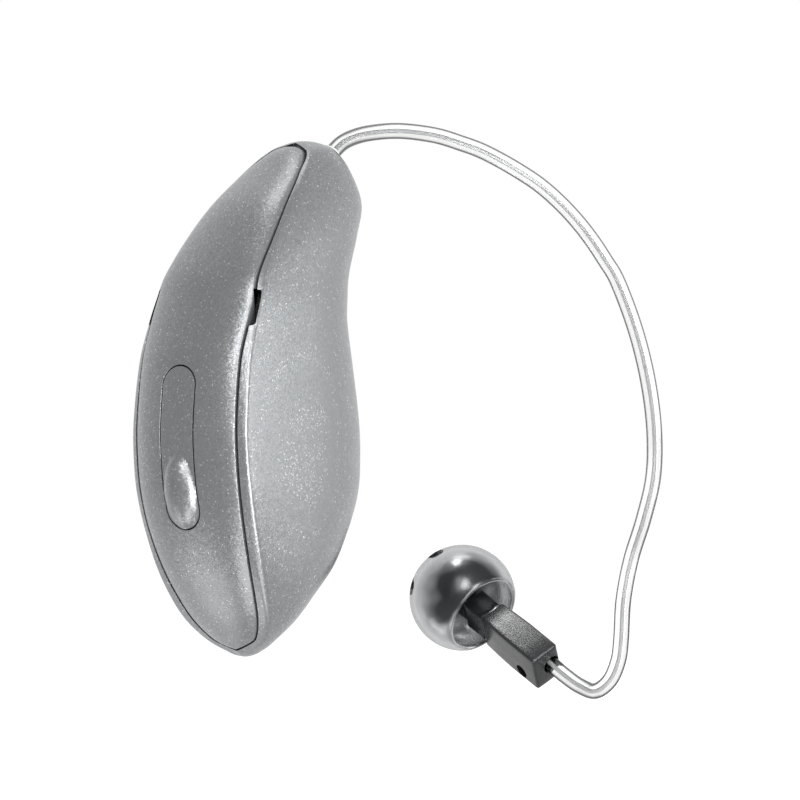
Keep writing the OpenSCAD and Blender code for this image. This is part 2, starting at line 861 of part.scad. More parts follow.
// Fine mesh screens over the microphones' ports
module mic_screens() {
    color("black") {
        on_spine(slot_level_share)
            post(port_r * 1.6, rear_mic_depth - boot_wall * 1.5, rear_mic_depth - boot_wall);
        on_spine(front_mic_level)
            post(port_r * 1.6, front_mic_depth - boot_wall * 1.5, front_mic_depth - boot_wall);
    }
}

module switch_base() {
    pocket_r = switch_side * 0.4;
    color("black")
        on_spine(switch_level)
            difference() {
                translate([switch_face, -switch_side / 2, -switch_side / 2])
                    cube([switch_t, switch_side, switch_side]);
                post(plunger_d / 2 + touch_gap, switch_face - overrun, switch_face + switch_t / 2);
                post(pocket_r, switch_face + switch_t * 0.25, switch_face + switch_t * 0.85);
            }
}

module snap_disc() {
    color("silver")
        on_spine(switch_level)
            post(
                switch_side * 0.37,
                switch_face + switch_t * 0.85 - disc_t,
                switch_face + switch_t * 0.85
            );
}

module switch_plunger() {
    color("ivory")
        on_spine(switch_level)
            union() {
                post(plunger_d / 2, plunger_out, switch_face + switch_t * 0.38);
                post(
                    plunger_d / 2 + wall / 8,
                    switch_face + switch_t * 0.27,
                    switch_face + switch_t * 0.38
                );
            }
}

// Stretch of a round piece along the wire's exit axis
module exit_rod(d, from, to, faces = round_faces) {
    at_exit() translate([0, 0, from]) cylinder(d = d, h = to - from, $fn = faces);
}

module wire_socket() {
    color("black")
        difference() {
            exit_rod(socket_d, socket_from, socket_to);
            exit_rod(plug_d + 2 * plug_clear, -collar_l - plug_l - touch_gap, 0);
        }
}

contact_step = plug_l / 5;
contact_w = contact_step / 2;
function contact_at(i) = -collar_l - plug_l + contact_step * (i + 0.5);

module socket_contacts() {
    color("gold")
        for (i = [0:2])
            difference() {
                exit_rod(socket_d + 2 * plug_clear, contact_at(i), contact_at(i) + contact_w);
                exit_rod(socket_d, -far, far);
            }
}

module exit_collar() {
    color("white") exit_rod(collar_d, -collar_l, 0);
}

ring_d = plug_d * 0.9;
module wire_plug() {
    color("ivory")
        difference() {
            exit_rod(plug_d, -collar_l - plug_l, -collar_l);
            for (i = [0:2])
                groove(contact_at(i), contact_w);
            groove(-collar_l - contact_step, contact_w);
        }
}

module groove(from, w) {
    difference() {
        exit_rod(2 * plug_d, from, from + w);
        exit_rod(ring_d, from - plug_l, from + plug_l);
    }
}

module band(d, from, w) {
    difference() {
        exit_rod(d, from, from + w);
        exit_rod(ring_d, from - plug_l, from + plug_l);
    }
}

module plug_rings() {
    color("gold") for (i = [0:2]) band(plug_d, contact_at(i), contact_w);
}

module plug_seal() {
    color("dimgray") band(plug_d + plug_clear, -collar_l - contact_step, contact_w);
}

// Clear tube swept along its route: each ring stands square to the way at its place
wire_sides = 8;
function way_at(i) =
    i == 0 ? [cos(exit_rise), 0, sin(exit_rise)]
    : i >= len(wire_route) - 2 ? receiver_axis
    : unit(wire_route[i + 1] - wire_route[i - 1]);
function across_way(v, way) = unit(v - (v * way) * way);
function wire_normal(i) = i == 0 ? [0, 1, 0] : across_way(wire_normal(i - 1), way_at(i));
function wire_ring(i) =
    let (a = wire_normal(i), b = cross(way_at(i), a))
    [
        for (k = [0:wire_sides - 1])
            wire_route[i] + wire_d / 2 * (cos(360 * k / wire_sides) * a - sin(360 * k / wire_sides) * b)
    ];

module receiver_wire() {
    ends = len(wire_route) - 1;
    color("gainsboro")
        skin([for (i = [0:ends]) wire_ring(i)], wire_route[0], wire_route[ends]);
}

shell_r = receiver_wall;
edge_r = receiver_wall / 4;
shell_bevel = receiver_w * 0.3;
mount_t = receiver_wall / 3;
nose_w = receiver_w * 0.8;
nose_h = receiver_h * 0.85;
front_w = receiver_w * 0.88;
driver_from = receiver_l * 0.47;
driver_to = receiver_l + nose_l * 0.8;
driver_w = nose_w - 2 * receiver_wall - 2 * mount_t;
driver_h = nose_h - 2 * receiver_wall - 2 * mount_t;
retention_z = receiver_l * 0.295;
retention_y = receiver_h / 2 - retention_d / 2 - wall / 6;

// Round corners of a block along the receiver's axis, one of its long edges bevelled
module soft_block(w, h, from, to, r, bevel) {
    corners = [
        [-w / 2 + r, -h / 2 + r],
        [w / 2 - r, -h / 2 + r],
        [-w / 2 + r, h / 2 - r],
        [w / 2 - r, h / 2 - r - bevel],
        [w / 2 - r - bevel, h / 2 - r]
    ];
    for (c = corners, z = [from + r, to - r])
        translate([c[0], c[1], z]) sphere(r = r, $fn = 16);
}

module receiver_shell() {
    color("dimgray")
        at_receiver()
            difference() {
                hull() {
                    soft_block(receiver_w, receiver_h, 0, receiver_l / 2, shell_r, shell_bevel);
                    soft_block(
                        front_w,
                        receiver_h * 0.96,
                        receiver_l - 2 * edge_r,
                        receiver_l,
                        edge_r,
                        shell_bevel / 2
                    );
                }
                translate([
                    -nose_w / 2 + receiver_wall,
                    -nose_h / 2 + receiver_wall,
                    driver_from - mount_t
                ])
                    cube([
                        nose_w - 2 * receiver_wall,
                        nose_h - 2 * receiver_wall,
                        receiver_l
                    ]);
                translate([entry_shift, 0, -overrun])
                    cylinder(d = entry_d, h = entry_depth + overrun, $fn = small_faces);
                translate([entry_shift / 2, -receiver_h / 8, 0])
                    cylinder(d = wire_d / 3, h = receiver_l / 2, $fn = small_faces);
                translate([-receiver_w, retention_y, retention_z])
                    rotate([0, 90, 0])
                        cylinder(d = retention_d, h = 2 * receiver_w, $fn = round_faces);
            }
}

module receiver_nose() {
    color("black")
        at_receiver()
            difference() {
                translate([0, 0, receiver_l])
                    hull() {
                        linear_extrude(shell_r)
                            square([nose_w, nose_h], center = true);
                        soft_block(nose_w, nose_h, shell_r, nose_l, shell_r, 0);
                    }
                translate([
                    -nose_w / 2 + receiver_wall,
                    -nose_h / 2 + receiver_wall,
                    receiver_l - overrun
                ])
                    cube([
                        nose_w - 2 * receiver_wall,
                        nose_h - 2 * receiver_wall,
                        overrun + driver_to - receiver_l + mount_t
                    ]);
                translate([0, 0, receiver_l])
                    cylinder(d = nozzle_bore, h = 2 * nose_l, $fn = small_faces);
            }
}

module driver_block(grow) {
    translate([
        -driver_w / 2 - grow,
        -driver_h / 2 - grow,
        driver_from - grow
    ])
        cube([driver_w + 2 * grow, driver_h + 2 * grow, driver_to - driver_from + 2 * grow]);
}

module receiver_driver() {
    color("silver") at_receiver() driver_block(0);
}

// Rubber sleeve that holds the driver off the shell
module driver_mount() {
    color("dimgray")
        at_receiver()
            difference() {
                driver_block(mount_t);
                driver_block(0);
                translate([0, 0, driver_to - mount_t])
                    cylinder(d = nozzle_bore * 0.8, h = 3 * mount_t, $fn = small_faces);
                translate([entry_shift / 2, -receiver_h / 8, driver_from - 2 * mount_t])
                    cylinder(d = wire_d / 3, h = 3 * mount_t, $fn = small_faces);
            }
}

// Solder ends of the conductors, in the channel behind the driver
module driver_pads() {
    pad_d = wire_d / 3 - wall / 16;
    color("gold")
        at_receiver()
            translate([entry_shift / 2, -receiver_h / 8, entry_depth + touch_gap])
                cylinder(d = pad_d, h = driver_from - entry_depth - touch_gap, $fn = small_faces);
}

nozzle_from = receiver_l + nose_l;
nozzle_to = nozzle_from + nozzle_l;
lip_d = nozzle_d - wall / 4;
module sound_nozzle() {
    color("silver")
        at_receiver()
            difference() {
                translate([0, 0, nozzle_from])
                    cylinder(d = nozzle_d, h = nozzle_l, $fn = round_faces);
                translate([0, 0, nozzle_from - overrun])
                    cylinder(d = nozzle_bore, h = nozzle_l + 2 * overrun, $fn = round_faces);
            }
}

guard_l = nozzle_l * 0.4;
guard_clear = wall / 20;
guard_lip = wall / 6;
module wax_guard() {
    guard_d = nozzle_bore - 2 * guard_clear;
    color("white")
        at_receiver()
            difference() {
                union() {
                    translate([0, 0, nozzle_to - guard_l])
                        cylinder(d = guard_d, h = guard_l + touch_gap, $fn = round_faces);
                    translate([0, 0, nozzle_to + touch_gap / 2])
                        cylinder(d = lip_d, h = guard_lip, $fn = round_faces);
                }
                translate([0, 0, nozzle_to - guard_l - overrun])
                    cylinder(d = guard_d * 0.7, h = guard_l + 2 * overrun, $fn = round_faces);
            }
}

module wax_screen() {
    guard_d = nozzle_bore - 2 * guard_clear;
    color("dimgray")
        at_receiver()
            translate([0, 0, nozzle_to - guard_l / 2])
                cylinder(d = guard_d * 0.7, h = wall / 16, $fn = small_faces);
}

dome_r = dome_d / 2;
dome_clear = wall / 20;
sleeve_wall = dome_wall * 1.5;
dome_mid = nozzle_to + guard_lip + touch_gap - dome_r + dome_wall / 2;
mouth_angle = asin(mouth_d / dome_d);
tip_angle = asin((nozzle_d / 2 + dome_clear + sleeve_wall) / dome_r);
vent_angle = 50;
sleeve_l = nozzle_l * 0.75;
function on_arc(r, a) = [r * sin(a), r * cos(a)];
arc_steps = 16;
module ear_dome() {
    bore_r = nozzle_d / 2 + dome_clear;
    ends = [tip_angle, 180 - mouth_angle];
    tip_z = dome_r * cos(tip_angle);
    profile = concat(
        [[bore_r, tip_z - sleeve_l], [bore_r, tip_z]],
        [for (i = [0:arc_steps]) on_arc(dome_r, between(ends, i / arc_steps))],
        [for (i = [arc_steps:-1:0]) on_arc(dome_r - dome_wall, between(ends, i / arc_steps))],
        [[bore_r + sleeve_wall, tip_z - sleeve_l]]
    );
    color("silver")
        at_receiver()
            translate([0, 0, dome_mid])
                difference() {
                    rotate_extrude($fn = 64) polygon(profile);
                    for (k = [0:vent_count - 1])
                        rotate([0, 0, 360 * (k + 0.5) / vent_count])
                            rotate([0, vent_angle, 0])
                                translate([0, 0, dome_r * 0.75])
                                    vent();
                }
}

// Round-ended vent, longer along the way to the tip
module vent() {
    half = vent_w / 4;
    for (x = [-half, half])
        translate([x, 0, 0]) cylinder(d = vent_w, h = dome_r, $fn = small_faces);
    translate([-half, -vent_w / 2, 0]) cube([2 * half, vent_w, dome_r]);
}

in_frame() main_housing();
in_frame() spine_cover();
in_frame() push_button();
in_frame() button_gasket();
in_frame() hinge_pin();
in_frame() switch_base();
in_frame() snap_disc();
in_frame() switch_plunger();
in_frame() chassis();
in_frame() battery_cell();
in_frame() positive_tab();
in_frame() negative_tab();
in_frame() ferrite_sheet();
in_frame() charging_coil();
in_frame() main_board();
in_frame() processor_chip();
in_frame() radio_chip();
in_frame() memory_chip();
in_frame() power_chip();
in_frame() antenna_strip();
in_frame() telecoil();
in_frame() front_microphone();
in_frame() front_mic_boot();
in_frame() rear_microphone();
in_frame() rear_mic_boot();
in_frame() mic_screens();
in_frame() wire_socket();
in_frame() socket_contacts();
in_frame() exit_collar();
in_frame() wire_plug();
in_frame() plug_rings();
in_frame() plug_seal();
in_frame() receiver_wire();
in_frame() receiver_shell();
in_frame() receiver_nose();
in_frame() receiver_driver();
in_frame() driver_mount();
in_frame() driver_pads();
in_frame() sound_nozzle();
in_frame() wax_guard();
in_frame() wax_screen();
in_frame() ear_dome();
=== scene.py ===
"""Looks of the behind the ear hearing aid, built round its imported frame.

Every length is in metres. A level is a share of the housing's height, counted from its chin.
"""

import math

import bmesh
import bpy
from bpy.props import FloatProperty, FloatVectorProperty, IntProperty, PointerProperty
from mathutils import Matrix, Vector


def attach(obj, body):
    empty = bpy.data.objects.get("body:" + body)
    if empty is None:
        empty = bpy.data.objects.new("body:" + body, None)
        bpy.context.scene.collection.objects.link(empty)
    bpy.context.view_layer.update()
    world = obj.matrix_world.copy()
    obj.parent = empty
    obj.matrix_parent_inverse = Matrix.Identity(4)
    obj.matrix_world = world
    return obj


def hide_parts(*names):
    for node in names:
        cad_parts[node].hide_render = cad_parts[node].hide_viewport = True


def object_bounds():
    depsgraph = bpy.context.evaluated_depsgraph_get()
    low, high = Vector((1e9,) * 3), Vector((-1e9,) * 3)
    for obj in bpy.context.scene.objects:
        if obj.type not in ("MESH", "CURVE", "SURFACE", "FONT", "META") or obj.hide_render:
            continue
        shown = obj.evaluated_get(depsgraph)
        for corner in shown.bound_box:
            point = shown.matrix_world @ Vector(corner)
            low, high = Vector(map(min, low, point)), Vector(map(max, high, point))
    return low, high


bl_info = {
    "name": "Hearing aid looks",
    "version": (1, 0, 0),
    "blender": (4, 5, 0),
    "location": "View3D > Sidebar > Hearing aid",
    "description": "Builds the finished pieces of a behind the ear hearing aid and its studio",
    "category": "Add Mesh",
}

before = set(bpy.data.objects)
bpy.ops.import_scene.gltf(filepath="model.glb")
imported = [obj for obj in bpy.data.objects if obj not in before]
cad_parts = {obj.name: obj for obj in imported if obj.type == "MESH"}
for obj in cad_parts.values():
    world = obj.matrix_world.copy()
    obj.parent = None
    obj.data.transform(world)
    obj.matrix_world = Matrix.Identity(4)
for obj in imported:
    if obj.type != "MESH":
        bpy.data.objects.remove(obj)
CAD_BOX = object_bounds()
MM = 0.001
# Points nearer to each other than this are one point
MERGE = 2e-7
# Edges over these angles, in degrees, stay sharp: on most pieces, the receiver, the round ones
SHARP, SHARP_RECEIVER, SHARP_ROUND = 32, 40, 50

# Outline of the housing, as in the part's source. The columns are: level; spine x, cover edge x
# and ridge x as shares of the depth; half width of cover edge, ridge and widest place as shares
# of half the thickness; widest place x and front x as shares of the depth.
OUTLINE_SHARES = (
    (0, -0.025, -0.025, -0.025, 0, 0, 0, -0.03, -0.025),
    (0.012, -0.083, -0.071, -0.065, 0.083, 0.226, 0.285, -0.036, 0.007),
    (0.033, -0.134, -0.103, -0.09, 0.329, 0.488, 0.525, -0.054, 0.04),
    (0.07, -0.207, -0.159, -0.148, 0.517, 0.695, 0.731, -0.036, 0.128),
    (0.115, -0.275, -0.219, -0.209, 0.626, 0.802, 0.845, -0.014, 0.232),
    (0.175, -0.348, -0.288, -0.27, 0.714, 0.886, 0.929, 0.007, 0.37),
    (0.25, -0.414, -0.352, -0.326, 0.781, 0.94, 0.976, 0.014, 0.467),
    (0.32, -0.455, -0.391, -0.366, 0.812, 0.967, 1, 0.014, 0.525),
    (0.385, -0.474, -0.409, -0.386, 0.817, 0.964, 1, 0.014, 0.534),
    (0.455, -0.478, -0.413, -0.39, 0.814, 0.955, 1, 0.018, 0.52),
    (0.575, -0.446, -0.383, -0.357, 0.802, 0.929, 0.976, 0.029, 0.471),
    (0.65, -0.388, -0.328, -0.301, 0.798, 0.905, 0.945, 0.043, 0.446),
    (0.69, -0.352, -0.292, -0.265, 0.793, 0.888, 0.924, 0.065, 0.453),
    (0.74, -0.304, -0.253, -0.222, 0.752, 0.838, 0.881, 0.101, 0.478),
    (0.815, -0.193, -0.133, -0.101, 0.679, 0.743, 0.81, 0.188, 0.556),
    (0.88, -0.074, -0.008, 0.03, 0.576, 0.652, 0.714, 0.29, 0.609),
    (0.945, 0.105, 0.151, 0.175, 0.41, 0.493, 0.56, 0.346, 0.549),
    (0.98, 0.205, 0.243, 0.26, 0.24, 0.335, 0.405, 0.362, 0.485),
    (0.991, 0.268, 0.284, 0.295, 0.12, 0.22, 0.28, 0.362, 0.445),
    (1, 0.355, 0.355, 0.355, 0, 0, 0, 0.355, 0.355),
)
SPINE_X, EDGE_X, RIDGE_X, EDGE_Y, RIDGE_Y, WIDE_Y, WIDE_X, FRONT_X = range(1, 9)
CORNER_SHARE, CORNER_MORE_SHARE = 0.56, 0.18
COVER_CURVE_SHARES = (0.5, 0.85, 0.45)
FLANK_CURVE_SHARES = (0.35, 0.75, 0.7)
SEAT_LEVEL = 18.5 / 28.6
SLOT_LEVEL = 0.676
LEAF_LEVELS = (0.0145, 0.9904)
LEAF_ROUND_SHARES = (0.02, 0.014)
CAVITY_LEVELS = (0.05, 0.961)
# Where the groove is widest round the cover's upper tip, and how far down that reaches
TIP_LEVEL, TIP_REACH = 0.972, 0.03
# Steps along the housing's flank, in its section and in the cavity's
FLANK_STEPS, CAVITY_FLANK_STEPS = 12, 6
# Steps from the widest place round to the front, in the same two sections, and along half the
# cover's outer face
NOSE_STEPS, CAVITY_NOSE_STEPS, COVER_STEPS = 18, 10, 16
# Halvings that find a place on the cover's curve
HALVINGS = 26
# Insets from the button's outline of the rings that carry its thumb bump, in millimetres
BUMP_INSETS = (0.1, 0.16, 0.24, 0.34, 0.46, 0.58, 0.7, 0.82, 0.94, 1.03)

# Route of the clear wire, in millimetres in the frame, as in the part's source
WIRE_ROUTE = (
    (1.13805, 0, 9.3993), (2.23785, 0, 10.05), (3.53785, -0.15, 10.45), (4.93785, -0.5, 10.65),
    (6.13785, -0.95, 10.7), (7.33785, -1.45, 10.6), (8.43785, -2, 10.4), (9.53785, -2.55, 10.05),
    (10.6379, -3.1, 9.65), (11.7379, -3.65, 9.1), (12.7879, -4.25, 8.45), (13.8379, -4.85, 7.7),
    (14.8379, -5.45, 6.75), (15.7379, -6, 5.7), (16.4879, -6.5, 4.6), (17.0879, -6.95, 3.5),
    (17.6379, -7.35, 2.4), (18.3379, -7.9, 0.15), (18.8379, -8.3, -2.05), (19.1379, -8.6, -4.3),
    (19.1879, -8.8, -6.5), (18.8379, -8.95, -8.7), (17.8379, -9.05, -10.95),
    (16.5879, -9.15, -13.15), (15.8879, -9.15, -15.4), (15.7379, -9.1, -17.6),
    (15.7379, -8.9, -18.8), (15.6879, -8.35, -19.9), (15.6879, -7.35, -20.5),
    (15.7879, -6.2, -20.25), (15.8379, -5.05, -19.65), (15.8596, -4.11486, -19.0337),
    (15.896, -3.50139, -18.6586),
)
EXIT_WAY = Vector((0.848048, 0, 0.529919))

# The receiver's own axes: across, down its height and along to the dome
RECEIVER_PLACE = Matrix((
    (0.739, 0.671801, 0.050621, 0.0156379),
    (-0.38287, 0.356965, 0.852048, -0.004),
    (0.554337, -0.649045, 0.52101, -0.0192),
    (0, 0, 0, 1),
))

# The photo's view: the camera's turn in degrees and its distance, the width of the picture, of
# whose 800 pixels 18 are a millimetre, and its middle, right of and above the frame's origin
VIEW_TURN, VIEW_AWAY, VIEW_WIDTH = -52, 2.0, 800 / 18 * MM
VIEW_RIGHT, VIEW_UP = 4.537 * MM, -4.278 * MM
SENSOR_MM = 36
# Soft boxes: azimuth and elevation that the light comes from, width, height, watts
LAMP_DISTANCE = 0.5
LAMPS = (
    ("flank box", 38, 2, 0.1, 0.16, 0.19),
    ("front box", -50, 30, 0.24, 0.26, 0.75),
    ("bump box", -14, -6, 0.16, 0.5, 1.8),
    ("top box", 128, 84, 0.2, 0.2, 0.24),
    ("low box", -46, -56, 0.34, 0.3, 0.5),
    ("side box", -138, -50, 0.26, 0.26, 0.22),
)


def linear(code):
    """The linear values of an sRGB hex colour."""
    parts = [int(code[i:i + 2], 16) / 255 for i in (1, 3, 5)]
    return tuple(p / 12.92 if p <= 0.04045 else ((p + 0.055) / 1.055) ** 2.4 for p in parts)


def length(name, text, value):
    """A length property in metres, given in millimetres."""
    return FloatProperty(name=name, description=text, default=value * MM, min=0, unit="LENGTH",
                         subtype="DISTANCE", precision=5)


def colour(name, text, code):
    return FloatVectorProperty(name=name, description=text, default=linear(code), size=3,
                               min=0, max=1, subtype="COLOR")


class HearingAidHousing(bpy.types.PropertyGroup):
    height: length("Height", "Chin to top of the housing", 28.6)
    depth: length("Depth", "Depth that the outline's shares are multiplied by", 13.8)
    thickness: length("Thickness", "Across the widest place", 8.4)
    wall: length("Wall", "Wall of the housing", 0.8)
    cover_wall: length("Cover wall", "Wall of the spine cover", 0.7)
    groove: length("Groove", "Gap between the spine cover and the housing", 0.14)
    groove_depth: length("Groove depth", "Depth of the seat that the cover's rim stands in", 1.1)
    ledge: length("Ledge", "Width of the ledge under the cover's rim", 0.5)
    edge_round: length("Edge round", "Radius of the edges along the groove", 0.03)
    ridge_round: length("Ridge round", "Reach of the rounding along the ridge", 0.25)
    tip_gap: length("Tip gap", "How far the groove widens round the cover's upper tip", 0.12)
    slot_length: length("Slot length", "Length of a sound slot", 2)
    slot_width: length("Slot width", "Width of a sound slot beside the cover's edge", 0.36)
    exit_hole: length("Exit hole", "Diameter of the wire's exit", 1.38)


class HearingAidButton(bpy.types.PropertyGroup):
    width: length("Width", "Width of the push button", 2.2)
    length: length("Length", "Length along the spine", 9)
    low: length("Lower end", "Height of its lower end above the chin", 7.10138)
    wall: length("Wall", "Wall of the push button", 0.6)
    gap: length("Gap", "Gap round the button in its window", 0.08)
    chamfer: length("Chamfer", "Chamfer of the window and of the button's edge", 0.03)
    bump_rise: length("Bump rise", "How far the thumb bump stands out", 0.62)
    bump_length: length("Bump length", "Length of the thumb bump", 4.3)
    pin_diameter: length("Pin diameter", "Diameter of the hinge pin", 0.5)
    pin_clearance: length("Pin clearance", "Radial clearance on the hinge pin", 0.03)
    nub_diameter: length("Nub diameter", "Diameter of the nub over the switch", 0.9)


class HearingAidWire(bpy.types.PropertyGroup):
    diameter: length("Diameter", "Diameter of the clear wire", 0.9)
    core: length("Core", "Diameter of the bundle of conductors", 0.15)
    collar: length("Collar", "Diameter of the exit collar", 1.3)
    collar_length: length("Collar length", "Length of the exit collar", 1.6)
    sides: IntProperty(name="Sides", description="Faces round the wire", default=40, min=8)


class HearingAidReceiver(bpy.types.PropertyGroup):
    width: length("Width", "Width of the receiver shell", 1.8)
    height: length("Height", "Height of the receiver shell", 2.45)
    length: length("Length", "Length of the receiver shell", 4.6)
    nose: length("Nose", "Length of the nose", 1.8)
    wall: length("Wall", "Wall of the shell and nose", 0.24)
    crown: length("Crown", "How far the shell's sides swell", 0.05)
    retention: length("Retention hole", "Diameter of the hole for a retention tail", 0.84)
    nozzle: length("Nozzle", "Diameter of the sound nozzle", 1.6)
    nozzle_length: length("Nozzle length", "Length of the sound nozzle", 3.7)
    bore: length("Bore", "Bore of the sound nozzle", 1)


class HearingAidDome(bpy.types.PropertyGroup):
    diameter: length("Diameter", "Outer diameter of the ear dome", 5.95)
    wall: length("Wall", "Wall of the ear dome", 0.2)
    mouth: length("Mouth", "Diameter of the dome's open mouth", 4.7)
    centre: length("Centre", "Distance of its centre from the receiver's rear face", 7.40833)
    vent_width: length("Vent width", "Width of a vent", 0.8)
    vents: IntProperty(name="Vents", description="Vents round the tip", default=6, min=0)


class HearingAidColours(bpy.types.PropertyGroup):
    paint: colour("Paint", "Metallic paint of the housing and cover", "#A0A2A4")
    flake: colour("Flake", "Brightest flakes in the paint", "#F4F4F2")
    # Bare plastic, made near black as painted shade of the groove and slots
    groove: colour("Groove", "Bare plastic in the groove and slots", "#0C0C0D")
    jacket: colour("Jacket", "Clear jacket of the wire", "#F6F6F5")
    shell: colour("Receiver", "Receiver shell", "#1E1F21")
    nose: colour("Nose", "Receiver nose", "#1B1C1E")
    dome: colour("Dome", "Smoked silicone of the dome", "#C6C7C9")
    white: colour("White", "White plastic pieces", "#ECECEA")


def share_at(column, level):
    """One column of the outline table at any level, on a smooth curve through its rows."""
    rows = OUTLINE_SHARES
    i = max(k for k in range(len(rows) - 1) if k == 0 or level >= rows[k][0])

    def slope(k):
        low, high = rows[max(k - 1, 0)], rows[min(k + 1, len(rows) - 1)]
        return (high[column] - low[column]) / (high[0] - low[0])

    step = rows[i + 1][0] - rows[i][0]
    t = (level - rows[i][0]) / step
    if i in (0, len(rows) - 2):
        # The form closes round at its two ends
        end, inner, t = (rows[0], rows[1], t) if i == 0 else (rows[-1], rows[-2], 1 - t)
        return end[column] + (inner[column] - end[column]) * math.sqrt(max(t, 0))
    return ((2 * t ** 3 - 3 * t ** 2 + 1) * rows[i][column]
            + (t ** 3 - 2 * t ** 2 + t) * step * slope(i)
            + (3 * t ** 2 - 2 * t ** 3) * rows[i + 1][column]
            + (t ** 3 - t ** 2) * step * slope(i + 1))


def blend(a, b, t):
    return a + (b - a) * t


def bezier(a, b, c, d, t):
    return a * (1 - t) ** 3 + b * (3 * (1 - t) ** 2 * t) + c * (3 * (1 - t) * t ** 2) + d * t ** 3


def quarter_round(t):
    """Height of a quarter circle at a share of its width, which is held between 0 and 1."""
    t = min(max(t, 0), 1)
    return math.sqrt(t * (2 - t))


def flank_curve(back, wide, steps, start=0.0):
    """Points along a flank, from a share of the way behind it to the widest place."""
    a, b, c = FLANK_CURVE_SHARES
    first = Vector((blend(back.x, wide.x, a), blend(back.y, wide.y, b)))
    second = Vector((blend(back.x, wide.x, c), wide.y))
    return [bezier(back, first, second, wide, blend(start, 1, i / steps))
            for i in range(steps + 1)]


class BodyForm:
    """The housing's outer form: its spine, cover edge, ridge, flank and front at a level."""

    def __init__(self, sizes):
        self.s = sizes
        self.origin = self.front(SEAT_LEVEL)

    def _x(self, column, level):
        return self.s.depth * share_at(column, level)

    def _y(self, column, level):
        return self.s.thickness / 2 * max(share_at(column, level), 0)

    def spine(self, level):
        return self._x(SPINE_X, level)

    def front(self, level):
        return self._x(FRONT_X, level)

    def edge(self, level):
        return self._x(EDGE_X, level), self._y(EDGE_Y, level)

    def ridge(self, level):
        return self._x(RIDGE_X, level), self._y(RIDGE_Y, level)

    def wide(self, level):
        return self._x(WIDE_X, level), self._y(WIDE_Y, level)

    def tilt(self, level, share=0.01):
        """Angle of the spine from upright, in side view."""
        run = self.spine(level + share) - self.spine(level - share)
        return math.atan(run / (2 * share * self.s.height))

    def skin_x(self, level, y):
        """Outer surface between the spine and the ridge, at a distance from the middle plane."""
        spine = self.spine(level)
        (edge_x, edge_y), (ridge_x, ridge_y) = self.edge(level), self.ridge(level)
        y = abs(y)
        if y >= edge_y:
            reach = ridge_y - edge_y
            return blend(edge_x, ridge_x, min((y - edge_y) / reach, 1)) if reach > 1e-9 else edge_x
        low, high = 0.0, 1.0
        a, b, c = COVER_CURVE_SHARES
        for _ in range(HALVINGS):
            t = (low + high) / 2
            if bezier(0, a, b, 1, t) * edge_y < y:
                low = t
            else:
                high = t
        return spine + (edge_x - spine) * bezier(0, 0, c, 1, t)

    def skin_row(self, level, low, high, steps, under=0.0):
        """Points of a section along the skin, or at a depth under it."""
        return [Vector((self.skin_x(level, y) + under, y))
                for y in (blend(low, high, i / steps) for i in range(steps + 1))]

    def nose(self, level, steps, inset=0):
        """Points from the widest place round to the front."""
        wide = Vector(self.wide(level)) - Vector((0, inset))
        front = self.front(level) - inset
        corner = CORNER_SHARE + CORNER_MORE_SHARE * math.sin(math.pi * level)
        first = Vector((blend(wide.x, front, corner), wide.y))
        second = Vector((front, wide.y * corner))
        return [bezier(wide, first, second, Vector((front, 0)), i / steps)
                for i in range(1, steps + 1)]

    def leaf(self, level, ends=LEAF_LEVELS, grow=0.0):
        """Half width of the cover's leaf outline, round at both ends and grown by a gap."""
        half = self._y(EDGE_Y, level) + grow
        for end, share, side in zip(ends, LEAF_ROUND_SHARES, (1, -1)):
            half *= quarter_round(side * (level - end) / share)
        return half

    def slot(self, level):
        """How far a sound slot widens the groove at a level."""
        from_end = self.s.slot_length / 2 - abs(level - SLOT_LEVEL) * self.s.height
        return self.s.slot_width * quarter_round(from_end / self.s.slot_width)

    def groove_edge(self, level):
        """Half width of the opening that the cover lies in, without and with the sound slots."""
        near_tip = max(0, 1 - abs(level - TIP_LEVEL) / TIP_REACH)
        gap = self.s.groove + self.s.tip_gap * near_tip ** 2 * (3 - 2 * near_tip)
        low, high = LEAF_LEVELS
        reach = self.s.groove / self.s.height
        plain = self.leaf(level, (low - 0.5 * reach, high + reach), gap)
        # A slot stops short of the ridge
        widened = min(plain + self.slot(level), self.ridge(level)[1] - 0.05 * MM)
        return plain, max(widened, plain)

    def skirt(self, level, half):
        """Depth of the cover's rim and of its seat."""
        return min(self.s.groove_depth, self._y(EDGE_Y, level) * 0.6, half * 0.9)

    def at(self, x, y, level):
        """A point of the frame from a place in a section and its level."""
        return Vector((x - self.origin, y, (level - SEAT_LEVEL) * self.s.height))

    def row(self, section, level):
        return [self.at(p.x, p.y, level) for p in section]

    def on_skin(self, y, z, under=0.0):
        """A point of the frame on the skin, or under it, at a height above the chin."""
        level = z / self.s.height
        return self.at(self.skin_x(level, y) + under, y, level)

    def levels(self, steps=104):
        """Levels close together toward both ends and at the ends of the sound slots."""
        made = [(1 - math.cos(math.pi * i / steps)) / 2 for i in range(steps + 1)]
        half = self.s.slot_length / 2 / self.s.height
        corner = self.s.slot_width / self.s.height
        turns = [half + 1e-5]
        turns += [half - corner * (1 - math.cos(math.pi * i / 12)) for i in range(7)]
        for side in (-1, 1):
            made = [m for m in made
                    if not half - corner - 0.004 < side * (m - SLOT_LEVEL) < half + 0.003]
            made += [SLOT_LEVEL + side * t for t in turns]
        return sorted(made)


def chain(verts, closed):
    """Each vertex with the next one, and the last with the first in a closed row."""
    return list(zip(verts, verts[1:] + (verts[:1] if closed else [])))


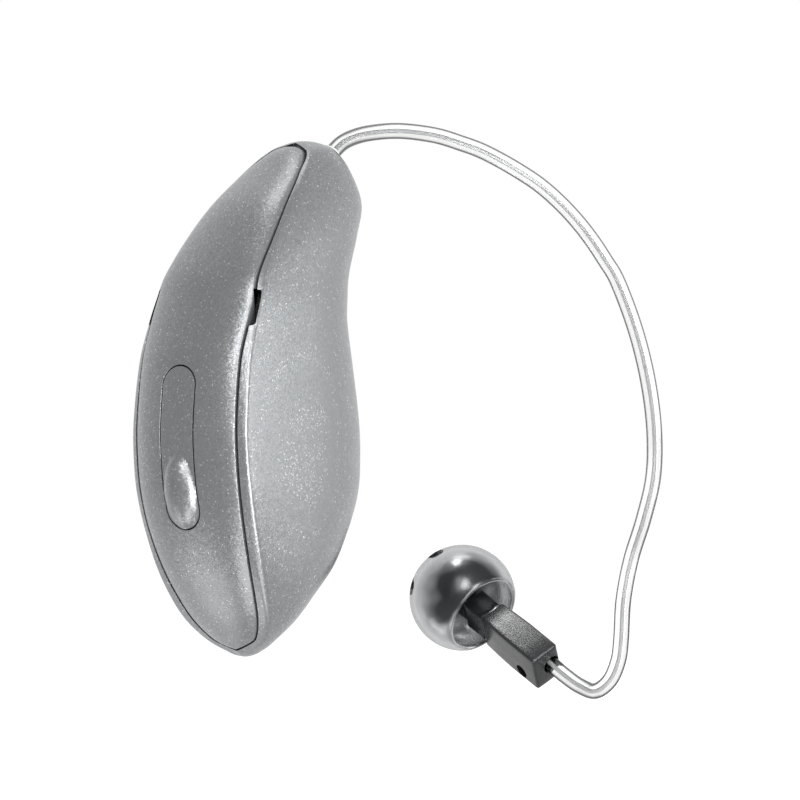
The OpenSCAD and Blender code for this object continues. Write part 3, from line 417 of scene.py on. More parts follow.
def loft(bm, rows, closed=False, finishes=None):
    """Extrudes a row of edges from each row of points to the next."""
    verts = [bm.verts.new(p) for p in rows[0]]
    edges = [bm.edges.new(pair) for pair in chain(verts, closed)]
    for row in rows[1:]:
        made = bmesh.ops.extrude_edge_only(bm, edges=edges)["geom"]
        fresh = {g for g in made if isinstance(g, bmesh.types.BMVert)}
        verts = [next(e.other_vert(v) for e in v.link_edges if e.other_vert(v) in fresh)
                 for v in verts]
        for vert, point in zip(verts, row):
            vert.co = point
        edges = [bm.edges.get(pair) for pair in chain(verts, closed)]
        for i, edge in enumerate(edges):
            edge.link_faces[0].material_index = finishes[i] if finishes else 0
            edge.link_faces[0].smooth = True


def merge(bm):
    bmesh.ops.remove_doubles(bm, verts=bm.verts, dist=MERGE)
    bmesh.ops.dissolve_degenerate(bm, edges=bm.edges, dist=MERGE)


def sharpen(bm, angle):
    for face in bm.faces:
        face.smooth = True
    for edge in bm.edges:
        flat = edge.calc_face_angle(0) < math.radians(angle)
        edge.smooth = len(edge.link_faces) == 2 and flat


def fill(bm):
    """Fills open ends and turns the faces outward."""
    bmesh.ops.holes_fill(bm, edges=[e for e in bm.edges if e.is_boundary], sides=0)
    bmesh.ops.recalc_face_normals(bm, faces=bm.faces)


def close_up(bm, angle=SHARP):
    """Merges doubles, closes the form and keeps edges over an angle sharp."""
    merge(bm)
    fill(bm)
    sharpen(bm, angle)
    return bm


def finished(bm, name):
    """An object from a bmesh, which is freed."""
    mesh = bpy.data.meshes.new(name)
    bm.to_mesh(mesh)
    bm.free()
    made = bpy.data.objects.new(name, mesh)
    bpy.context.scene.collection.objects.link(made)
    return made


def cut(piece, tools, operation="DIFFERENCE", angle=SHARP):
    """Cuts tools out of a piece, or joins them to it, and removes the tools."""
    for tool in tools:
        change = piece.modifiers.new("cut", "BOOLEAN")
        change.operation, change.solver, change.object = operation, "EXACT", tool
    bpy.context.view_layer.update()
    shown = piece.evaluated_get(bpy.context.evaluated_depsgraph_get())
    mesh = bpy.data.meshes.new_from_object(shown)
    piece.modifiers.clear()
    piece.data = mesh
    mesh.name = piece.name
    for tool in tools:
        bpy.data.objects.remove(tool)
    bm = bmesh.new()
    bm.from_mesh(mesh)
    merge(bm)
    sharpen(bm, angle)
    bm.to_mesh(mesh)
    bm.free()


def tube(rows, angle=SHARP):
    """A closed form from rows of points that each run all the way round."""
    bm = bmesh.new()
    loft(bm, rows, closed=True)
    return close_up(bm, angle)


def mirrored_loft(rows, finishes=None):
    """A closed form from rows along one half of each section."""
    bm = bmesh.new()
    loft(bm, rows, finishes=finishes)
    bmesh.ops.mirror(bm, geom=bm.verts[:] + bm.edges[:] + bm.faces[:], matrix=Matrix.Identity(4),
                     merge_dist=MERGE, axis="Y")
    return close_up(bm)


def spun(profile, steps, closed=False, angle=SHARP):
    """A form turned round the Z axis from a profile of radii and heights."""
    bm = bmesh.new()
    for pair in chain([bm.verts.new((x, 0, z)) for x, z in profile], closed):
        bm.edges.new(pair)
    bmesh.ops.spin(bm, geom=bm.verts[:] + bm.edges[:], cent=(0, 0, 0), axis=(0, 0, 1),
                   angle=2 * math.pi, steps=steps, use_merge=True, use_duplicate=False)
    return close_up(bm, angle)


def rod(radius, depth, place, steps=32):
    """A cylinder along the Z axis of its place."""
    bm = bmesh.new()
    bmesh.ops.create_cone(bm, cap_ends=True, segments=steps, radius1=radius, radius2=radius,
                          depth=depth, matrix=place)
    return bm


def block(size, middle):
    bm = bmesh.new()
    bmesh.ops.create_cube(bm, size=1)
    bmesh.ops.scale(bm, vec=size, verts=bm.verts)
    bmesh.ops.translate(bm, verts=bm.verts, vec=middle)
    return bm


def soften(bm, edges, radius, steps):
    """Rounds edges."""
    bmesh.ops.bevel(bm, geom=edges, offset=radius, segments=steps, profile=0.5, affect="EDGES",
                    material=-1)


def moved(bm, place):
    """Carries a form to its place and turns its faces outward."""
    bmesh.ops.transform(bm, matrix=place, verts=bm.verts)
    bmesh.ops.recalc_face_normals(bm, faces=bm.faces)
    return bm


def toward(way):
    """A turn that points the Z axis along a way."""
    return way.to_track_quat("Z", "Y").to_matrix().to_4x4()


def add_node(tree, kind, inputs=(), **settings):
    """Adds a node with its settings; an input takes a value or another node's output."""
    made = tree.nodes.new(kind)
    for name, value in settings.items():
        setattr(made, name, value)
    for name, value in dict(inputs).items():
        if isinstance(value, bpy.types.NodeSocket):
            tree.links.new(value, made.inputs[name])
        else:
            made.inputs[name].default_value = value
    return made


def mixed(tree, factor, a, b, kind="RGBA"):
    inputs = {"Factor": factor, "A": a, "B": b}
    return add_node(tree, "ShaderNodeMix", inputs, data_type=kind).outputs["Result"]


def ranged(tree, value, low, high, start=0.0, end=1.0):
    """A value that runs from low to high while its source runs from start to end."""
    inputs = {"Value": value, "From Min": start, "From Max": end, "To Min": low, "To Max": high}
    return add_node(tree, "ShaderNodeMapRange", inputs).outputs["Result"]


def noise(tree, place, size, detail=2.0):
    """Soft noise with grains of a size in metres."""
    inputs = {"Vector": place, "Scale": 1 / size, "Detail": detail}
    return add_node(tree, "ShaderNodeTexNoise", inputs).outputs["Fac"]


def maths(tree, operation, *values):
    return add_node(tree, "ShaderNodeMath", enumerate(values), operation=operation).outputs[0]


def vector_maths(tree, operation, inputs, result="Vector"):
    made = add_node(tree, "ShaderNodeVectorMath", inputs, operation=operation)
    return made.outputs[result]


def new_material(name):
    """An empty node material, its tree and its object coordinates."""
    made = bpy.data.materials.new(name)
    made.use_nodes = True
    tree = made.node_tree
    tree.nodes.clear()
    return made, tree, add_node(tree, "ShaderNodeTexCoord").outputs["Object"]


def add_surface(tree, shader):
    add_node(tree, "ShaderNodeOutputMaterial", {"Surface": shader})


def add_skin(tree, values):
    """Ends a material with a principled shader."""
    add_surface(tree, add_node(tree, "ShaderNodeBsdfPrincipled", values).outputs["BSDF"])


def rgba(value):
    return (*value, 1)


def shade(value, factor):
    return tuple(min(c * factor, 1) for c in value) + (1,)


def flake_paint(name, paint, flake, roughness, coat, grain=1.0):
    """Sprayed metallic paint: fine aluminium flakes in a grey base under clear lacquer. They lie
    at slightly different angles, so the finish sparkles and its highlights are soft."""
    made, tree, place = new_material(name)
    # Real flakes are about 0.03 mm, too fine to show, so they are drawn as clusters: 0.065 mm for
    # the paint's body and 0.11 mm for the sparks
    cells, sparks = [
        add_node(tree, "ShaderNodeTexVoronoi", {"Vector": place, "Scale": 1 / (size * MM)}).outputs
        for size in (0.065, 0.11)]
    cell, spark = [
        add_node(tree, "ShaderNodeSeparateColor", {"Color": source["Color"]}).outputs
        for source in (cells, sparks)]
    # Clouds of 0.26 mm, where the flakes lie more or less closely
    cloud = noise(tree, place, 0.26 * MM, 3.0)
    tone = mixed(tree, cell["Red"], shade(paint, 1 - 0.24 * grain), shade(paint, 1 + 0.2 * grain))
    mottle = mixed(tree, cloud, shade(paint, 0.86), shade(paint, 1.12))
    base = mixed(tree, 0.5, tone, mottle)
    # A spark is the middle of the few cells that are chosen
    chosen = ranged(tree, spark["Green"], 0.0, 1.0, 0.78, 1.0)
    inside = ranged(tree, sparks["Distance"], 0.0, 1.0, 0.42, 0.22)
    top = mixed(tree, maths(tree, "MULTIPLY", chosen, inside), base, rgba(flake))
    around = vector_maths(tree, "SUBTRACT", {0: cells["Color"], 1: (0.5, 0.5, 0.5)})
    lean = vector_maths(tree, "SCALE", {0: around, "Scale": 0.15 * grain})
    upright = add_node(tree, "ShaderNodeNewGeometry").outputs["Normal"]
    leaning = vector_maths(tree, "ADD", {0: upright, 1: lean})
    add_skin(tree, {
        "Base Color": top, "Metallic": 0.85,
        "Roughness": ranged(tree, cloud, roughness * 0.9, roughness * 1.1),
        "Normal": vector_maths(tree, "NORMALIZE", {0: leaning}), "Coat Weight": coat,
        "Coat Roughness": 0.2, "Coat Normal": upright})
    return made


def moulded(name, base, roughness, grain, depth, metallic=0.0, coat=0.0, tone=0.1, specular=0.5):
    """A moulded, stamped or plated finish: a fine grain of a real size moves colour, gloss and
    surface."""
    made, tree, place = new_material(name)
    grit = noise(tree, place, grain, 4.0)
    relief = add_node(tree, "ShaderNodeBump", {"Height": grit, "Strength": 0.5, "Distance": depth})
    add_skin(tree, {
        "Base Color": mixed(tree, grit, shade(base, 1 - tone), shade(base, 1 + tone)),
        "Roughness": ranged(tree, grit, roughness * 0.82, roughness * 1.18),
        "Normal": relief.outputs["Normal"], "Metallic": metallic, "Coat Weight": coat,
        "Specular IOR Level": specular})
    return made


def dress(piece, body, *materials, slot=None, replaces=()):
    """Gives a piece its materials and its body, and hides the nodes it stands for. Its record slot
    is not used.
    """
    piece.data.materials.clear()
    for material in materials:
        piece.data.materials.append(material)
    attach(piece, body)
    if replaces:
        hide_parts(*replaces)


def paints(colours):
    """The housing's paint and its groove's bare plastic, made near black as painted shade; both
    made once.
    """
    names = ("sprayed metallic paint", "bare polyamide darkened as painted groove shade")
    if names[0] in bpy.data.materials:
        return [bpy.data.materials[n] for n in names]
    return [flake_paint(names[0], colours.paint, colours.flake, 0.34, 0.15),
            moulded(names[1], colours.groove, 0.6, 0.08 * MM, 0.004 * MM)]


def put(context, name, data, at, turn):
    """Links a lamp or camera that stands at a point with a turn."""
    made = bpy.data.objects.new(name, data)
    made.matrix_world = Matrix.Translation(at) @ turn
    context.scene.collection.objects.link(made)
    return made


def white_studio(tree, back):
    """World nodes: a white backdrop behind the object and a dimmer room on the camera's side."""
    tree.nodes.clear()
    rays = add_node(tree, "ShaderNodeLightPath").outputs
    way = add_node(tree, "ShaderNodeTexCoord").outputs["Generated"]
    ahead = vector_maths(tree, "DOT_PRODUCT", {0: way, 1: tuple(-back)}, "Value")
    mirrored = ranged(tree, ahead, 0.42, 0.95, -0.05, 0.7)
    soft = mixed(tree, rays["Is Glossy Ray"], 0.45, mirrored, "FLOAT")
    # Clear pieces bend light from beside the backdrop, on either side, into their edges
    bent = ranged(tree, maths(tree, "ABSOLUTE", ahead), 0.25, 1.0, 0.45, 0.85)
    through = mixed(tree, rays["Is Transmission Ray"], soft, bent, "FLOAT")
    level = mixed(tree, rays["Is Camera Ray"], through, 1.0, "FLOAT")
    air = add_node(tree, "ShaderNodeBackground", {"Color": (1, 1, 1, 1), "Strength": level})
    add_node(tree, "ShaderNodeOutputWorld", {"Surface": air.outputs["Background"]})


def white_paper():
    """Paper: its diffuse white keeps the shadow, and what the camera sees of it is lifted to
    white."""
    made, tree, place = new_material("white paper")
    # Fibres of 0.3 mm
    fibre = noise(tree, place, 0.3 * MM)
    tone = mixed(tree, fibre, shade(linear("#F2F2F2"), 0.99), rgba(linear("#F6F6F6")))
    paper = add_node(tree, "ShaderNodeBsdfDiffuse", {"Color": tone})
    rays = add_node(tree, "ShaderNodeLightPath").outputs
    seen = maths(tree, "MAXIMUM", rays["Is Camera Ray"], rays["Is Transmission Ray"])
    lift = maths(tree, "MULTIPLY", seen, 0.7)
    glow = add_node(tree, "ShaderNodeEmission", {"Strength": lift})
    both = {0: paper.outputs["BSDF"], 1: glow.outputs["Emission"]}
    add_surface(tree, add_node(tree, "ShaderNodeAddShader", both).outputs["Shader"])
    return made


class HEARINGAID_OT_stage(bpy.types.Operator):
    """Makes the camera, the lamps, the white surroundings and the floor"""
    bl_idname = "hearing_aid.stage"
    bl_label = "Stage"

    def execute(self, context):
        turn = math.radians(VIEW_TURN)
        right = Vector((math.cos(turn), math.sin(turn), 0))
        back = Vector((math.sin(turn), -math.cos(turn), 0))
        up = back.cross(right)
        lens = bpy.data.cameras.new("camera")
        lens.sensor_width, lens.lens = SENSOR_MM, SENSOR_MM * VIEW_AWAY / VIEW_WIDTH
        lens.clip_start, lens.clip_end = 0.01, 10
        target = right * VIEW_RIGHT + up * VIEW_UP
        context.scene.camera = put(context, "camera", lens, target + back * VIEW_AWAY,
                                   Matrix((right, up, back)).transposed().to_4x4())

        for name, azimuth, elevation, wide, high, watts in LAMPS:
            lamp = bpy.data.lights.new(name, "AREA")
            lamp.shape, lamp.size, lamp.size_y, lamp.energy = "RECTANGLE", wide, high, watts
            a, e = math.radians(azimuth), math.radians(elevation)
            way = Vector((math.sin(a) * math.cos(e), -math.cos(a) * math.cos(e), math.sin(e)))
            put(context, name, lamp, way * LAMP_DISTANCE, toward(way))

        # A narrow spot from above picks out the grain on the receiver's upper face
        spot = bpy.data.lights.new("receiver spot", "SPOT")
        spot.energy, spot.spot_size, spot.spot_blend = 0.003, math.radians(36), 1.0
        spot.shadow_soft_size = 0.002
        way = Vector((-0.219, 0.081, 0.973))
        at = RECEIVER_PLACE @ Vector((0, 0, 5 * MM)) + way * 0.022
        put(context, "receiver spot", spot, at, toward(way))

        world = bpy.data.worlds.new("white studio")
        context.scene.world = world
        world.use_nodes = True
        white_studio(world.node_tree, back)

        bm = bmesh.new()
        bmesh.ops.create_grid(bm, x_segments=8, y_segments=8, size=2)
        bmesh.ops.translate(bm, verts=bm.verts, vec=(0, 0, CAD_BOX[0].z - 0.05 * MM))
        floor = finished(bm, "floor")
        floor.data.materials.append(white_paper())
        # The lamps that stand lower than the floor shine through it, as through a glass table
        floor.visible_glossy = floor.visible_shadow = False
        return {"FINISHED"}


def smooth_route(steps=14):
    """The wire's route as a close row of points on one smooth curve, and the way at each."""
    knots = [Vector(p) * MM for p in WIRE_ROUTE]
    before, after = knots[0] - EXIT_WAY * 1.2 * MM, knots[-1] * 2 - knots[-2]
    whole = [before, *knots, after]
    points = []
    for a, b, c, d in zip(whole, whole[1:], whole[2:], whole[3:]):
        for i in range(steps):
            t = i / steps
            points.append(0.5 * (2 * b + (c - a) * t + (2 * a - 5 * b + 4 * c - d) * t ** 2
                                 + (3 * b - a - 3 * c + d) * t ** 3))
    points.append(knots[-1])
    ways = [(points[min(i + 1, len(points) - 1)] - points[max(i - 1, 0)]).normalized()
            for i in range(len(points))]
    ways[0] = EXIT_WAY
    return points, ways


def rings_along(points, ways, radius, sides):
    """A ring of points square to the way at each point, carried along without twist."""
    angles = [2 * math.pi * k / sides for k in range(sides)]
    side = Vector((0, 1, 0))
    rows = []
    for point, way in zip(points, ways):
        side = (side - way * side.dot(way)).normalized()
        across = way.cross(side)
        rows.append([point + (side * math.cos(a) + across * math.sin(a)) * radius
                     for a in angles])
    return rows


class HEARINGAID_OT_wire(bpy.types.Operator):
    """Makes the clear wire, its bundle of conductors and the exit collar"""
    bl_idname = "hearing_aid.wire"
    bl_label = "Wire"

    def execute(self, context):
        s, colours = context.scene.hearing_aid_wire, context.scene.hearing_aid_colours
        points, ways = smooth_route()
        jacket = finished(tube(rings_along(points, ways, s.diameter / 2, s.sides), SHARP_ROUND),
                          "wire_jacket")

        # Extruded clear polyamide: refracts, and its colour is darkened toward the edges as
        # painted shade. Its
        # # gloss drifts over 1.5 mm.
        clear, tree, place = new_material("extruded clear polyamide")
        edge = add_node(tree, "ShaderNodeLayerWeight", {"Blend": 0.5}).outputs["Facing"]
        painted_edge_shade = ranged(tree, edge, 0.0, 1.0, 0.3, 0.5)
        add_skin(tree, {
            "Base Color": mixed(tree, painted_edge_shade, rgba(colours.jacket), rgba(linear("#1C1D1F"))),
            "Roughness": ranged(tree, noise(tree, place, 1.5 * MM), 0.08, 0.14),
            "Transmission Weight": 1.0, "IOR": 1.5})
        dress(jacket, "wire_assembly", clear, slot="clear_tube", replaces=("receiver_wire",))

        bundle = finished(tube(rings_along(points, ways, s.core / 2, 16)), "conductor_bundle")
        # Tinned copper strands, too fine to show one by one: a soft light grey
        tinned = moulded("tinned copper strand", linear("#CDCED0"), 0.6, 2 * MM, 0.0002 * MM,
                         metallic=0.1)
        dress(bundle, "wire_assembly", tinned, slot="gold_contact")

        # The collar has a rounded mouth with a step, where the clear jacket comes out of it
        r, hole = s.collar / 2, s.diameter / 2 + 0.01 * MM
        profile = [(0, -s.collar_length), (r, -s.collar_length), (r, -0.12 * MM),
                   (r - 0.05 * MM, -0.03 * MM), (r - 0.12 * MM, 0.0), (hole, 0.0),
                   (hole, -0.35 * MM), (0, -0.35 * MM)]
        side = Vector((0, 1, 0))
        turn = Matrix((EXIT_WAY.cross(side) * -1, side, EXIT_WAY)).transposed().to_4x4()
        collar = finished(moved(spun(profile, 48), Matrix.Translation(points[0]) @ turn),
                          "collar_ring")
        white = moulded("moulded white polyamide", colours.white, 0.35, 0.05 * MM, 0.002 * MM,
                        tone=0.03)
        dress(collar, "wire_assembly", white, slot="white_plastic", replaces=("exit_collar",))
        return {"FINISHED"}


class HEARINGAID_OT_housing(bpy.types.Operator):
    """Makes the painted housing with its groove, sound slots, cavity and wire exit"""
    bl_idname = "hearing_aid.housing"
    bl_label = "Housing"

    def execute(self, context):
        s, colours = context.scene.hearing_aid_housing, context.scene.hearing_aid_colours
        form = BodyForm(s)
        rows = []
        for level in form.levels():
            plain, half = form.groove_edge(level)
            edge_x, edge_y = form.edge(level)
            ridge, wide = Vector(form.ridge(level)), Vector(form.wide(level))
            room = max(ridge.y - plain, 0)
            r = min(s.edge_round, (ridge.y - half) * 0.3 if ridge.y > half else 0, half * 0.5)
            bend = min(s.ridge_round, room * 0.45)
            lip = [Vector((form.skin_x(level, half + a * r) + r * (1 - a) ** 2, half + a * r))
                   for a in (0, 0.35, 0.7)]
            floor_x = (edge_x if half > edge_y * 0.98 else lip[0].x) + form.skirt(level, half)
            floor_x = max(floor_x, lip[0].x)
            seat = [Vector((floor_x, half * share)) for share in (0, 0.5, 1)]
            band = form.skin_row(level, half + r, max(ridge.y - bend * 0.9, half + r), 5)
            span = (flank_curve(ridge, wide, FLANK_STEPS)[1] - ridge).length
            start = min(bend / span / FLANK_STEPS, 0.08) if span > 1e-9 else 0
            flank = flank_curve(ridge, wide, FLANK_STEPS, start)
            turn = [band[-1] * (1 - t) ** 2 + ridge * (2 * t * (1 - t)) + flank[0] * t ** 2
                    for t in (0.25, 0.5, 0.75)]
            rows.append(form.row(seat + lip + band + turn + flank
                                 + form.nose(level, NOSE_STEPS), level))
        # Bare plastic in the seat, made near black as painted shade of the groove, then paint,
        # with lighter paint where the band turns at the ridge as a painted highlight
        finishes = [1] * len(seat) + [0] * (len(rows[0]) - len(seat) - 1)
        ridge_from = len(seat) + len(lip) + len(band) - 2
        finishes[ridge_from:ridge_from + 4] = [2] * 4
        housing = finished(mirrored_loft(rows, finishes), "housing_shell")

        # Cavity for the chassis, opening into the seat of the cover
        rows = []
        steps = 30
        for i in range(steps + 1):
            level = blend(*CAVITY_LEVELS, i / steps)
            edge_x, edge_y = form.edge(level)
            back = Vector((edge_x + min(s.groove_depth, edge_y * 0.6), edge_y - s.ledge))
            wide = Vector(form.wide(level)) - Vector((0, s.wall))
            lead = back.x - 0.25 * MM
            section = [Vector((lead, 0)), Vector((lead, back.y))]
            section += flank_curve(back, wide, CAVITY_FLANK_STEPS)
            section += form.nose(level, CAVITY_NOSE_STEPS, s.wall)
            rows.append(form.row(section, level))
        cavity = finished(mirrored_loft(rows), "cavity_tool")
        at = Matrix.Translation(Vector(WIRE_ROUTE[0]) * MM) @ toward(EXIT_WAY)
        exit_rod = moved(rod(s.exit_hole / 2, 9 * MM, Matrix.Identity(4), 48), at)
        cut(housing, [cavity, finished(exit_rod, "exit_tool")])
        # The paint along the ridge is glossier, and lighter as a painted highlight, so the ridge
        # shows as a bright line
        painted_highlight_ridge_paint = flake_paint("ridge paint with painted highlight", linear("#D4D5D6"), colours.flake,
                                 0.24, 1.0, grain=0.3)
        dress(housing, "housing", *paints(colours), painted_highlight_ridge_paint, slot="housing_paint",
              replaces=("main_housing",))
        return {"FINISHED"}


def stadium(button, grow, count=20):
    """Outline of the push button from behind: distances from the middle plane and heights."""
    r = button.width / 2 + grow
    low = button.low + button.width / 2
    high = button.low + button.length - button.width / 2
    arc = [math.pi * k / count for k in range(count + 1)]
    made = [(r * math.cos(a), high + r * math.sin(a)) for a in arc]
    made += [(-r, blend(high, low, k / count)) for k in range(1, count)]
    made += [(-r * math.cos(a), low - r * math.sin(a)) for a in arc]
    made += [(r, blend(low, high, k / count)) for k in range(1, count)]
    return made


class HEARINGAID_OT_cover(bpy.types.Operator):
    """Makes the spine cover with its rounded edge and the push button's window"""
    bl_idname = "hearing_aid.cover"
    bl_label = "Spine cover"

    def execute(self, context):
        s, button = context.scene.hearing_aid_housing, context.scene.hearing_aid_button
        form = BodyForm(s)
        rows = []
        for level in [v for v in form.levels() if LEAF_LEVELS[0] < v < LEAF_LEVELS[1]]:
            half = form.leaf(level)
            deep = form.skirt(level, half) - min(s.groove, half * 0.05)
            wall = min(s.cover_wall, half * 0.6)
            inner = half - min(s.ledge, half * 0.5)
            r = min(s.edge_round * 0.4, half * 0.3)
            side = form.skin_x(level, half)
            rim_x = max(form.edge(level)[0] + deep, side + 1.5 * r)
            edge = [Vector((side + 0.3 * r, half - 0.3 * r)), Vector((side + r, half)),
                    Vector((rim_x, half)), Vector((rim_x, inner))]
            rows.append(form.row(form.skin_row(level, 0, half - r, COVER_STEPS) + edge
                                 + form.skin_row(level, inner, 0, 8, wall), level))
        # Paint on the outer face, and from its edge inward bare plastic, made near black as
        # painted shade of the groove
        finishes = [0] * COVER_STEPS + [1] * (len(rows[0]) - COVER_STEPS - 1)
        cover = finished(mirrored_loft(rows, finishes), "spine_leaf")

        # Window with a fine chamfer that follows the skin
        rings = [[form.on_skin(y, z, under) for y, z in stadium(button, button.gap + grow)]
                 for grow, under in ((button.chamfer, -1.5 * MM), (button.chamfer, -0.01 * MM),
                                     (0, button.chamfer), (0, 2.5 * MM))]
        tools = [finished(tube(rings), "window_tool")]
        # Ducts that open the sound slots into the housing
        edge_x, edge_y = form.edge(SLOT_LEVEL)
        for side in (-1, 1):
            middle = form.at(edge_x + s.groove_depth * 0.85, side * edge_y, SLOT_LEVEL)
            size = (s.groove_depth, 2 * MM, s.slot_length * 1.05)
            tools.append(finished(block(size, middle), "duct_tool"))
        cut(cover, tools)
        dress(cover, "housing", *paints(context.scene.hearing_aid_colours), slot="housing_paint",
              replaces=("spine_cover",))
        return {"FINISHED"}


class HEARINGAID_OT_button(bpy.types.Operator):
    """Makes the push button with its thumb bump, hinge arm and nub"""
    bl_idname = "hearing_aid.button"
    bl_label = "Push button"

    def execute(self, context):
        s, button = context.scene.hearing_aid_housing, context.scene.hearing_aid_button
        form = BodyForm(s)
        bump_level = (button.low + button.bump_length * 0.454) / s.height
        tilt = form.tilt(bump_level)
        outward = Vector((-math.cos(tilt), 0, math.sin(tilt)))
        along = Vector((math.sin(tilt), 0, math.cos(tilt)))
        centre = form.at(form.spine(bump_level), 0, bump_level)
        sunk = button.wall / 2

        def off_bump(y, off):
            """Squared share of the way from the bump's middle to its outline."""
            return (2 * y / button.width) ** 2 + (2 * off / button.bump_length) ** 2

        def skin(y, z, under):
            point = form.on_skin(y, z, under)
            inside = 1 - off_bump(y, (point - centre).dot(along))
            top = (button.bump_rise + sunk) * math.sqrt(max(inside, 0)) - sunk
            # The bump is measured from the straight spine line, so the skin's curve is taken off
            rise = top - (point - centre).dot(outward)
            # The bump runs into the skin over this length
            smooth = 0.05 * MM
            lift = smooth * math.log1p(math.exp(min(rise / smooth, 60))) if inside > 0 else 0
            return point + outward * lift * min(max(inside * 8, 0), 1)

        bevel = button.chamfer
        rings = [[form.on_skin(y, z, button.wall) for y, z in stadium(button, 0, 40)]]
        for inset, under in ((0, bevel), (0.3 * bevel, 0.3 * bevel), (bevel, 0),
                             *((inset * MM, 0) for inset in BUMP_INSETS), (button.width / 2, 0)):
            rings.append([skin(y, z, under) for y, z in stadium(button, -inset, 40)])
        bm = tube(rings)
        for face in bm.faces:
            off = face.calc_center_median() - centre
            on_bump = off_bump(off.y, off.dot(along)) < 0.95
            face.material_index = int(on_bump and off.dot(outward) > -0.3 * MM)
        piece = finished(bm, "thumb_button")

        # Hinge arm, its barrel and the nub that meets the switch
        pin_depth = 1.5 * MM
        pin_level = (button.low + button.length - button.width * 0.41) / s.height
        pin = form.at(form.spine(pin_level) + pin_depth, 0, pin_level)
        pin_place = Matrix.Translation(pin) @ Matrix.Rotation(math.pi / 2, 4, "X")
        hole = button.pin_diameter / 2 + button.pin_clearance
        barrel = hole + s.wall / 4
        arm = button.width * 0.6
        drum = finished(rod(barrel, arm, pin_place), "barrel_tool")
        out_to_skin = pin_depth - button.wall / 2
        bm = block((out_to_skin, arm, 2 * barrel), pin - Vector((out_to_skin / 2, 0, 0)))
        soften(bm, bm.edges[:], 0.05 * MM, 2)
        web = finished(bm, "arm_tool")
        switch_level = (button.low + button.width * 0.7) / s.height
        tilt = form.tilt(switch_level)
        inward = Vector((math.cos(tilt), 0, -math.sin(tilt)))
        reach = button.wall + s.wall / 2 - button.wall / 2
        middle = form.at(form.spine(switch_level), 0, switch_level)
        middle += inward * (button.wall / 2 + reach / 2)
        nub = finished(rod(button.nub_diameter / 2, reach,
                           Matrix.Translation(middle) @ toward(inward)), "nub_tool")
        cut(piece, [drum, web, nub], "UNION")
        cut(piece, [finished(rod(hole, 4 * MM, pin_place), "bore_tool")])
        colours = context.scene.hearing_aid_colours
        # The thumb bump's paint is polished by use
        bump = flake_paint("polished metallic paint", colours.paint, colours.flake, 0.22, 1.0,
                           grain=0.3)
        dress(piece, "button", paints(colours)[0], bump, slot="button_paint",
              replaces=("push_button",))
        return {"FINISHED"}


def receiver_rod(diameter, low, high, name, centre=(0, 0)):
    """A cylinder along the receiver's axis."""
    place = Matrix.Translation((*centre, (low + high) / 2))
    return finished(moved(rod(diameter / 2, high - low, place, 48), RECEIVER_PLACE), name)


def receiver_box(wide, tall, low, high, name):
    bm = block((wide, tall, high - low), (0, 0, (low + high) / 2))
    return finished(moved(bm, RECEIVER_PLACE), name)


def shell_outline(wide, tall, corner, swell, long_side):
    """Five corners, one cut off, with the middle of each long side swelled."""
    w, t = wide / 2, tall / 2
    corners = [Vector((-w, -t)), Vector((w, -t)), Vector((w, t - corner)),
               Vector((w - corner, t)), Vector((-w, t))]
    made = []
    for a, b in chain(corners, True):
        way = (b - a).normalized()
        out = Vector((way.y, -way.x))
        made.append(a)
        if (b - a).length > long_side:
            made += [blend(a, b, t) + out * swell * 4 * t * (1 - t) - out * swell
                     for t in (0.2, 0.4, 0.6, 0.8)]
        else:
            made.append((a + b) / 2)
    return made


